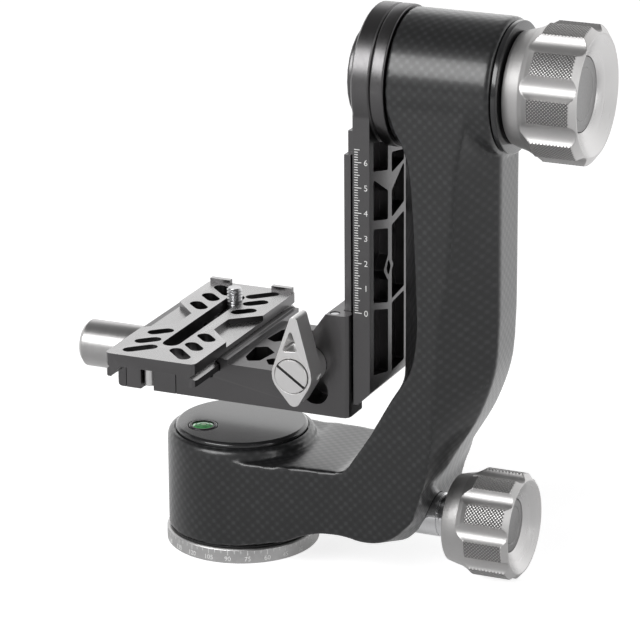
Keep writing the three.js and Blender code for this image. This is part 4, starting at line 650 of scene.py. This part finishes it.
def spline(shares, steps):
    """The curve through the shares, as the CAD draws it."""
    p = np.array(shares, float)
    n = len(p) - 1
    out = []
    for t in np.linspace(0, n, steps + 1):
        i = min(int(t), n - 1)
        w = t - i
        p0, p1, p2, p3 = p[max(i - 1, 0)], p[i], p[i + 1], p[min(i + 2, n)]
        v0, v1 = (p2 - p0) / 2, (p3 - p1) / 2
        cubic, square = 2 * p1 - 2 * p2 + v0 + v1, -3 * p1 + 3 * p2 - 2 * v0 - v1
        out.append(cubic * w ** 3 + square * w ** 2 + v0 * w + p1)
    return out


def arm_outline(inner, outer, under):
    curves = ((inner, INNER_STEPS), (SADDLE, SADDLE_STEPS), (under, UNDER_STEPS), (outer, OUTER_STEPS))
    return np.array([q for shares, count in curves for q in spline(shares, count)]) * (REACH, TILT)


def corner_values(mesh):
    """Each face corner's place, its face's normal and its face's centre."""
    count, sides = len(mesh.loops), len(mesh.polygons)
    corner, sizes = np.empty(count, np.int32), np.empty(sides, np.int32)
    place, normal = np.empty(len(mesh.vertices) * 3, np.float32), np.empty(sides * 3, np.float32)
    mesh.loops.foreach_get("vertex_index", corner)
    mesh.polygons.foreach_get("loop_total", sizes)
    mesh.vertices.foreach_get("co", place)
    mesh.polygons.foreach_get("normal", normal)
    place = place.reshape(-1, 3)[corner] / MM
    owner = np.repeat(np.arange(sides), sizes)
    starts = np.concatenate([[0], np.cumsum(sizes)[:-1]])
    centre = np.add.reduceat(place, starts, axis=0) / sizes[:, None]
    return place, normal.reshape(-1, 3)[owner], centre[owner]


def weave_map(mesh):
    """Lays the weave on each face from the side it faces; round the drum and the housing it is wrapped."""
    layer = mesh.uv_layers.new(name="weave")
    place, normal, centre = corner_values(mesh)
    x, y, z = place.T
    steep = np.abs(normal)
    u, v = x.copy(), z.copy()
    side = (steep[:, 0] > steep[:, 1] * 1.05) & (steep[:, 0] >= steep[:, 2])
    flat = (steep[:, 2] > steep[:, 1] * 1.05) & (steep[:, 2] > steep[:, 0])
    u[side], v[side] = y[side], z[side]
    u[flat], v[flat] = x[flat], y[flat]
    drum = (centre[:, 2] < DRUM_TOP + 0.5) & (centre[:, 0] < 0.5) & (steep[:, 2] < 0.8)
    turn = np.arctan2(x, np.where(centre[:, 1] < 0, -y, y))
    u[drum] = (DRUM_R * turn)[drum]
    v[drum] = z[drum]
    away = np.hypot(centre[:, 1], centre[:, 2] - TILT)
    housing = (away > HOUSING_R - 0.6) & (centre[:, 2] > TILT - 2) & (steep[:, 0] < 0.8)
    u[housing] = x[housing]
    v[housing] = (HOUSING_R * np.arctan2(z - TILT, -y))[housing] + TILT
    layer.data.foreach_set("uv", np.stack([u / TOW, v / TOW], 1).astype(np.float32).ravel())


def build_arm():
    facet = arm_outline(FACET_INNER, FACET_OUTER, FACET_UNDER)
    band = arm_outline(BAND_INNER, BAND_OUTER, BAND_UNDER)
    arm = closed_loft([(-FACET_Y, facet), (-BAND_Y, band), (BAND_Y, band), (FACET_Y, facet)])
    # the link widens towards the drum
    low = [p for p in facet if p[0] <= LINK_END and p[1] < TILT / 2]
    link_points, link_faces = closed_loft([(-1, low), (1, low)])
    link_points = [
        (x, y * (LINK_HALF + (FACET_Y - LINK_HALF) * max(0, min(1, x / LINK_END))), z)
        for x, y, z in link_points
    ]
    drum = turned_shell("z", [(DRUM_R, DRUM_LOW), *soft_end(DRUM_R, DRUM_TOP, *DRUM_SHOULDER)])
    housing_profile = [(HOUSING_R, HOUSING_X0), *soft_end(HOUSING_R, HOUSING_X1, *HOUSING_SHOULDER)]
    housing = turned_shell("x", housing_profile, (0, 0, TILT))
    block = scratch("arm_block", raw_mesh("arm_block", [arm, (link_points, link_faces), drum, housing]))
    grid = block.modifiers.new("grid", "REMESH")
    grid.mode = "VOXEL"
    grid.voxel_size = VOXEL * MM
    grid.adaptivity = 0
    soft = block.modifiers.new("soft", "SMOOTH")
    soft.factor = 0.5
    soft.iterations = 6
    mesh = applied(block)
    bpy.data.objects.remove(block)
    for name, axis, radius, start, end, height, sides in BORES:
        bore = cylinder(axis, radius, start, end, (0, 0, height), sides)
        mesh = subtract(mesh, raw_mesh(name + "_bore", [bore]))
    weave_map(mesh)
    mesh.name = "arm_moulding"
    add_object(
        "arm_moulding", mesh, carbon, "arm",
        smooth_angle=38, stands_for=("arm_shell",),
    )


build_arm()


# ---------------------------------------------------------------- fluted and knurled knobs
FLUTES = 9
FLUTE_STEPS = 11  # half a flute's arc is drawn in these
KNURL_DEPTH = 0.36
KNURL_PITCH = 0.34
KNURL_BAND = (0.385, 0.922)  # shares of the knob's length
BACK_CURVE = [(0.81, 0), (0.845, 0.1), (0.885, 0.23), (0.93, 0.305), (0.984, 0.372)]  # radius, length
CHAMFER_FROM, CHAMFER_DROP = 0.925, 0.115
DISH_STEP, DISH_SEAT = 0.6, 1.9


def knob_rows(radius, length, face, dish):
    """Rows of (along, radius, knurl row) from the back over the lands into the dish."""
    start, end = (share * length for share in KNURL_BAND)
    columns = 4 * round((end - start) / KNURL_PITCH / 4)
    rs, xs = np.array(BACK_CURVE).T * ((radius,), (length,))
    rows = [(0.0, rs[0] - 0.3, None)]
    rows += [(x, float(np.interp(x, xs, rs)), None) for x in np.linspace(0.25, xs[-1], 48)]
    rows += [(start + (end - start) * k / columns, radius, k) for k in range(columns + 1)]
    for t in np.linspace(0.1, 1, 10):
        along = CHAMFER_FROM + (1 - CHAMFER_FROM) * t
        rows.append((length * along, radius * (1 - CHAMFER_DROP * t), None))
    floor, step = length - dish, length - dish * DISH_STEP
    rim = [
        (length, 0.866), (length - 0.08, 0.859), (step + 0.12, 0.668), (step, 0.66), (step - 0.1, 0.65),
    ]
    rows += [(x, radius * share, None) for x, share in rim]
    return rows + [(floor, face + 0.3, None), (floor - DISH_SEAT, face + 0.3, None)]


def knob_skin(rows, start, centre, radius, flute, depth, first):
    """Points and faces between the rows, with flutes cut in and the diamond knurl on the lands."""
    reach = radius - depth + flute  # from the knob's axis to a flute's
    half = math.acos((reach ** 2 + radius ** 2 - flute ** 2) / (2 * reach * radius))
    period = 2 * math.pi / FLUTES
    land = period - 2 * half
    steps = 4 * round(land * radius / KNURL_PITCH / 4)
    first = math.radians(first)
    turn = []
    for i in range(FLUTES):
        middle = first + period * i
        turn += [(middle + half * k / FLUTE_STEPS, "flute") for k in range(1 - FLUTE_STEPS, FLUTE_STEPS)]
        turn += [(middle + half + land * k / steps, k) for k in range(steps + 1)]
    sides = len(turn)
    points = []
    for x, wide, row in rows:
        for angle, column in turn:
            off = ((angle - first + period / 2) % period) - period / 2
            across = reach * math.sin(off)
            here = wide
            if abs(off) < half * 1.0001 and abs(across) < flute:
                here = min(here, reach * math.cos(off) - math.sqrt(flute ** 2 - across ** 2))
            if row is not None and column != "flute" and 0 in ((row + column) % 4, (row - column) % 4):
                here -= KNURL_DEPTH
            points.append(moved(on_axis("x", here, angle, x), (start, *centre)))
    faces = []
    for r, (this, after) in enumerate(zip(rows, rows[1:])):
        for i in range(sides):
            j = (i + 1) % sides
            a, b, c, d = quad(r * sides, (r + 1) * sides, i, j)
            row, column = this[2], turn[i][1]
            if None in (row, after[2]) or "flute" in (column, turn[j][1]):
                faces.append((a, b, c, d))
            elif (row + column) % 2:
                faces += [(a, b, c), (a, c, d)]
            else:
                faces += [(a, b, d), (b, c, d)]
    hub, seat, last = len(points), len(points) + 1, (len(rows) - 1) * sides
    points += [(start, *centre), (start + rows[-1][0], *centre)]
    faces += [(hub, (i + 1) % sides, i) for i in range(sides)]
    faces += [(seat, last + i, last + (i + 1) % sides) for i in range(sides)]
    return points, faces


def knob(node, name, radius, length, face, dish, flute, depth, first):
    """A knob on the X axis with its cap: lands and flutes outside, a turned dish in front."""
    start = box_mm(node)[0][0]
    centre = middle_mm(node)[1:]
    rows = knob_rows(radius, length, face, dish)
    points, faces = knob_skin(rows, start, centre, radius, flute, depth, first)
    made = add_mesh(
        name, points, faces, silver, body_of_node[node],
        smooth_angle=30, stands_for=(node,), slot="silver_metal",
    )
    face_out(made.data)
    made.data.set_sharp_from_angle(angle=math.radians(24))
    made.data.materials.append(dish_metal)
    made.data.materials.append(groove_shade)
    # painted shade: the triangles of the knurl band, its groove slopes, take the darker groove metal
    band_start, band_end = (share * length for share in KNURL_BAND)
    for side in made.data.polygons:
        x, y, z = (v / MM for v in side.center)
        away = math.hypot(y - centre[0], z - centre[1])
        if x > start + length - dish - 0.1 and away < radius * 0.862:
            side.material_index = 1
        elif len(side.vertices) == 3 and band_start < x - start < band_end and away < radius - 0.08:
            side.material_index = 2
    cap = node + "_cap"
    back, floor = (corner[0] for corner in box_mm(cap))
    profile = [
        (0, back), (face, back), (face, floor), (face * 0.73, floor), (face * 0.715, floor - 0.22),
        (face * 0.70, floor), (0, floor),
    ]
    lathe(
        name + "_disc", "x", profile, (0, *centre), disc_metal, body_of_node[cap],
        sides=128, edge=0.12, stands_for=(cap,), slot="silver_metal",
    )


knob(
    "tilt_knob", "tilt_knob_knurled",
    radius=26.6, length=30.2, face=14.2, dish=5.6, flute=5.8, depth=2.7, first=2.8,
)
knob(
    "pan_knob", "pan_knob_knurled",
    radius=21.2, length=28.4, face=10.4, dish=5.0, flute=4.5, depth=2.3, first=12,
)


# ---------------------------------------------------------------- round pieces
def ring_piece(node, name, inner, outer, material, edge):
    """A plain ring on the X axis, as long as its node."""
    (start, _, _), (end, _, _) = box_mm(node)
    profile = [(inner, start), (outer, start), (outer, end), (inner, end), (inner, start)]
    lathe(
        name, "x", profile, (0, *middle_mm(node)[1:]), material, body_of_node[node], edge=edge,
        stands_for=(node,), slot="black_metal",
    )


ring_piece("tilt_flange", "tilt_flange_turned", inner=10.3, outer=27.3, material=dark, edge=0.7)
ring_piece("tilt_cover", "tilt_cover_turned", inner=6.8, outer=25.3, material=glossy, edge=0.4)
BASE_PROFILE = [
    (8.76, 0), (30.2, 0), (30.7, 0.5), (30.7, 5.6), (30.1, 6.2), (12, 6.2), (12, 16.0), (0, 16.0),
    (0, 12.8), (7.36, 12.8), (7.36, 1.5), (8.76, 1.5), (8.76, 0),
]
lathe(
    "pan_base_turned", "z", BASE_PROFILE, (0, 0, 0), base_metal, "base", sides=192, edge=0.2,
    stands_for=("pan_base",), slot="silver_metal",
)
(sleeve_start, _, _), (sleeve_end, _, _) = box_mm("pan_lock_sleeve")
SLEEVE_BORE_R, SLEEVE_R, SLEEVE_WAIST_R = 3.5, 8.75, 8.15
sleeve_profile = [
    (SLEEVE_BORE_R, sleeve_start), (SLEEVE_R, sleeve_start), (SLEEVE_R, 87.0), (SLEEVE_WAIST_R, 87.15),
    (SLEEVE_WAIST_R, 88.05), (SLEEVE_R, 88.2), (SLEEVE_R, sleeve_end - 0.5), (SLEEVE_R - 0.5, sleeve_end),
    (SLEEVE_BORE_R, sleeve_end), (SLEEVE_BORE_R, sleeve_start),
]
lathe(
    "pan_lock_sleeve_chrome", "x", sleeve_profile, (0, 0, PAN_LOCK_Z), chrome, "arm",
    sides=128, edge=0.15, stands_for=("pan_lock_sleeve",), slot="chrome_sleeve",
)
(clamp_start, _, _), (clamp_end, _, _) = box_mm("clamp_knob")
CLAMP_R, CLAMP_BORE_R, CLAMP_BORE_DEPTH = 9.5, 3.3, 13.8
clamp_profile = [
    (0, clamp_start), (7.6, clamp_start), (7.9, clamp_start + 0.1), (CLAMP_R, clamp_start + 1.7),
    (CLAMP_R, clamp_end - 1.2), (CLAMP_R - 1.2, clamp_end), (CLAMP_BORE_R, clamp_end),
    (CLAMP_BORE_R, clamp_end - CLAMP_BORE_DEPTH), (0, clamp_end - CLAMP_BORE_DEPTH),
]
clamp_at = (0, 0, middle_mm("clamp_knob")[2])
lathe(
    "clamp_knob_turned", "x", clamp_profile, clamp_at, clamp_metal, "jaw_knob",
    sides=128, edge=0.2, stands_for=("clamp_knob",), slot="silver_metal",
)


# ---------------------------------------------------------------- cap and bubble level
copied("pan_cap", "pan_cap_black", glossy, bevel=0.45, segments=3)
copied("level_ring", "level_ring_black", glossy, bevel=0.15, angle=40)


def build_level():
    low, high = box_mm("level_vial")
    centre = (*middle_mm("level_vial")[:2], 0)
    radius, floor, top = (high[0] - low[0]) / 2, low[2], high[2]
    surface = [
        (0, floor), (radius, floor), (radius, top - 0.35), (radius * 0.7, top - 0.12),
        (radius * 0.35, top - 0.03), (0, top - 0.02),
    ]
    lathe(
        "level_vial_liquid", "z", surface, centre, liquid, "arm", sides=96, edge=0.1,
        stands_for=("level_vial",), slot="level_liquid",
    )
    for name, mark in (("level_mark_inner", 1.55), ("level_mark_outer", 2.9)):
        inner, outer = mark - 0.1, mark + 0.1
        ring = [(inner, top - 0.3), (outer, top - 0.3), (outer, top), (inner, top), (inner, top - 0.3)]
        lathe(name, "z", ring, centre, plastic, "arm", sides=96, edge=0.02, slot="level_liquid")
    drop = [(0, top - 0.3), (1.2, top - 0.3), (1.25, top - 0.12), (0.9, top), (0, top)]
    place = moved(centre, (0.15, 0.2, 0))
    lathe(
        "level_bubble", "z", drop, place, bubble, "arm", sides=64, edge=0.08, slot="level_liquid",
    )


build_level()


# ---------------------------------------------------------------- milled pieces
copied("swing_arm", "swing_arm_milled", dark, bevel=0.22)
copied("height_rail", "height_rail_milled", dark, bevel=0.25)
copied("rail_disc", "rail_disc_turned", dark, bevel=0.3)
l_bracket = copied("l_bracket", "l_bracket_milled", dark, bevel=0.3)
clamp_body = copied("clamp_body", "clamp_body_milled", dark, bevel=0.3)
copied("clamp_jaw", "clamp_jaw_milled", dark, bevel=0.3)
qr_plate = copied("qr_plate", "qr_plate_milled", plate_top_lit, bevel=0.22)
copied("height_lever", "height_lever_milled", lever_metal, bevel=0.35)
lever_screw = copied("lever_screw", "lever_screw_turned", lever_metal, bevel=0.12)
copied("safety_pin", "safety_pin_turned", lever_metal, bevel=0.15, angle=50)

# the far lip of the rail slot ends level with the rail
LIP_CORNER = ((53.9, 12, 60), (8, 0, 0), (0, 8, 0), (0, 0, 13))
l_bracket.data = subtract(l_bracket.data, raw_mesh("lip_corner", [thin_blocks([LIP_CORNER])]))

# painted light: only the plate's top takes the lighter, glossier copy of the anodised metal; its sides,
# slots and underside stay dark
second_material(qr_plate, dark, lambda side: side.normal.z <= 0.5)


def in_driver_slot(side):
    front = box_mm("lever_screw")[0][1]
    middle = middle_mm("lever_screw")
    x, y, z = (c / MM for c in side.center)
    return math.hypot(x - middle[0], z - middle[2]) < 5 and y > front + 0.2


# painted shade: the driver slot's floor and walls take the dark anodised metal
second_material(lever_screw, dark, in_driver_slot)

# the safety pin's collar stops just above the floor of its bore
PIN_BORE_FLOOR, PIN_BORE_REACH, PIN_ROOM = 77.9, 2.4, 0.1
pin_x, pin_y, _ = middle_mm("safety_pin")
for vertex in clamp_body.data.vertices:
    x, y, z = (c / MM for c in vertex.co)
    if abs(z - PIN_BORE_FLOOR) < 0.01 and math.hypot(x - pin_x, y - pin_y) < PIN_BORE_REACH:
        vertex.co.z -= PIN_ROOM * MM


# ---------------------------------------------------------------- small pieces, shaped as in the CAD
SMALL_PIECES = (
    (steel_x, (
        "tilt_bearing_inner", "tilt_bearing_outer", "pan_lock_screw", "tilt_brake_plate", "tilt_lock_screw",
        "tilt_shaft", "tilt_bolt", "rail_screw_lower", "rail_screw_upper", "height_stop_screw",
        "clamp_screw_front", "clamp_screw_rear", "jaw_guide_pin_front", "jaw_guide_pin_rear", "clamp_bolt",
    )),
    (steel_y, ("lock_nut", "lock_bolt")),
    (steel_z, (
        "tripod_bush", "pan_spindle", "spindle_nut", "pan_bearing_lower", "pan_bearing_upper",
        "bracket_set_screw", "screw_retainer",
    )),
    (brass, ("pan_brake_shoe", "height_gib")),
    (plastic, ("glide_washer",)),
)
for material, names in SMALL_PIECES:
    for node in names:
        nodes[node].data.materials.clear()
        nodes[node].data.materials.append(material)


# ---------------------------------------------------------------- camera screw with its thread
SCREW_R, SCREW_HEAD_R, SCREW_NECK_R = 3.175, 5.4, 3.0
THREAD_PITCH, THREAD_HEIGHT, THREAD_SIDES = 1.27, 0.62, 40
THREAD_START, HEAD_HEIGHT = 2.4, 2.6  # above the foot of the head


def thread_radius(z, start, end, turn):
    """The thread's radius at a height and a share of a turn, fading at both ends."""
    phase = ((z - start) / THREAD_PITCH - turn) % 1
    crest = min(1, max(0, (1 - abs(2 * phase - 1) - 0.12) / 0.7))
    core = SCREW_R - THREAD_HEIGHT
    tip = SCREW_R - 0.6 * (1 - min(1, (end - z) / 0.7))
    fade = min(1, (end - z) / 0.7 + 0.05, (z - start) / 0.5 + 0.1)
    return core + (min(core + THREAD_HEIGHT * crest, tip) - core) * max(0, fade)


def build_camera_screw():
    """The threaded stud and its plain head."""
    node = "camera_screw"
    low, high = box_mm(node)
    centre = middle_mm(node)[:2]
    start, end = low[2] + THREAD_START, high[2]
    rows = int((end - start) / THREAD_PITCH * 8)
    points = []
    for r in range(rows + 1):
        z = start + (end - start) * r / rows
        for i in range(THREAD_SIDES):
            radius = thread_radius(z, start, end, i / THREAD_SIDES)
            angle = 2 * math.pi * i / THREAD_SIDES
            points.append(moved(on_axis("z", radius, angle, z), (*centre, 0)))
    faces = grid_faces(rows + 1, THREAD_SIDES)
    faces += [tuple(reversed(range(THREAD_SIDES))), tuple(range(rows * THREAD_SIDES, len(points)))]
    mesh = raw_mesh("camera_screw_thread", [(points, faces)])
    add_object(
        "camera_screw_thread", mesh, steel_z, body_of_node[node],
        smooth_angle=45, stands_for=(node,),
    )
    foot, shoulder = low[2], low[2] + HEAD_HEIGHT
    rim, neck = (SCREW_HEAD_R, shoulder), (SCREW_NECK_R, shoulder)
    head = [(0, foot), (SCREW_HEAD_R, foot), rim, neck, (0, shoulder)]
    at = (*centre, 0)
    lathe(
        "camera_screw_head", "z", head, at, steel_z, "screw",
        sides=64, edge=0.3, slot=slot_of.get(node),
    )


build_camera_screw()


# ---------------------------------------------------------------- scales and arrow
DIGIT_DEPTH = 0.06


def digits(name, text, size, origin, axes, material, body):
    """A generic number as thin raised characters; the axes are its right, up and outward ways."""
    curve = bpy.data.curves.new(name, "FONT")
    curve.body = text
    curve.size = size * MM
    curve.align_x, curve.align_y = "CENTER", "CENTER"
    curve.extrude = DIGIT_DEPTH * MM / 2
    curve.resolution_u = 4
    made = scratch(name + "_text", curve)
    mesh = applied(made)
    bpy.data.objects.remove(made)
    place = Matrix([Vector(v).normalized() for v in axes]).transposed().to_4x4()
    place.translation = Vector(origin) * MM
    mesh.transform(place)
    mesh.name = name
    add_object(name, mesh, material, body, smooth_angle=30)


def swing_scale():
    """Centimetres and millimetres up the swing arm's front."""
    face_y, zero, marks = -24.6, 110.6, 66
    tick_x, digit_x, tick_height, digit_size = 59.9, 64.6, 0.32, 3.4
    ticks = []
    for k in range(marks):
        length = 2.9 if k % 10 == 0 else (2.2 if k % 5 == 0 else 1.5)
        corner = (tick_x, face_y - 0.03, zero + k - tick_height / 2)
        ticks.append((corner, (length, 0, 0), (0, 0, tick_height), (0, 0.08, 0)))
    add_mesh("height_scale_ticks", *thin_blocks(ticks), white, "swing", smooth_angle=30)
    for k in range(7):
        origin = (digit_x, face_y, zero + 10 * k)
        axes = ((1, 0, 0), (0, 0, 1), (0, -1, 0))
        digits(f"height_scale_{k}", str(k), digit_size, origin, axes, white, "swing")


def lever_arrow():
    """A plain arrow on the lever's side, towards the way it locks."""
    along, across = np.array((0, -0.93, -0.36)), np.array((-0.05, 0.36, -0.93))
    out = np.array((0.991, 0, -0.131))
    shape = [(0, 0.3), (2.2, 0.3), (2.2, 0.85), (4.0, 0), (2.2, -0.85), (2.2, -0.3), (0, -0.3)]
    tail = np.array((50.36, -35.4, 88.1))
    points = [tuple(tail + along * a + across * b + out * w) for w in (-0.05, 0.06) for a, b in shape]
    count = len(shape)
    faces = grid_faces(2, count) + [tuple(range(count)), tuple(reversed(range(count, 2 * count)))]
    made = add_mesh("lever_arrow", points, faces, white, "lever", smooth_angle=30)
    face_out(made.data)


def base_scale():
    """Degrees round the base ring, numbered to 180 both ways."""
    radius, turn, top, digit_z, tick_width, digit_size = 30.7, -62, 5.5, 2.0, 0.22, 2.7
    ticks = []
    for k in range(0, 360, 5):
        angle = math.radians(k + turn)
        out = np.array((math.cos(angle), math.sin(angle), 0))
        along = np.array((-math.sin(angle), math.cos(angle), 0))
        tall = 1.9 if k % 15 == 0 else 1.2
        corner = out * (radius - 0.05) - along * tick_width / 2 + np.array((0, 0, top - tall))
        ticks.append((corner, along * tick_width, (0, 0, tall), out * 0.08))
    add_mesh("pan_scale_ticks", *thin_blocks(ticks), pale, "base", smooth_angle=30)
    for k in range(0, 360, 15):
        value = k if k <= 180 else 360 - k
        angle = math.radians(75 - k + turn)
        out = Vector((math.cos(angle), math.sin(angle), 0))
        right = Vector((-math.sin(angle), math.cos(angle), 0))
        origin = out * radius + Vector((0, 0, digit_z))
        digits(f"pan_scale_{k}", str(value), digit_size, origin, (right, (0, 0, 1), out), pale, "base")


swing_scale()
lever_arrow()
base_scale()

scene.view_settings.view_transform = "Standard"
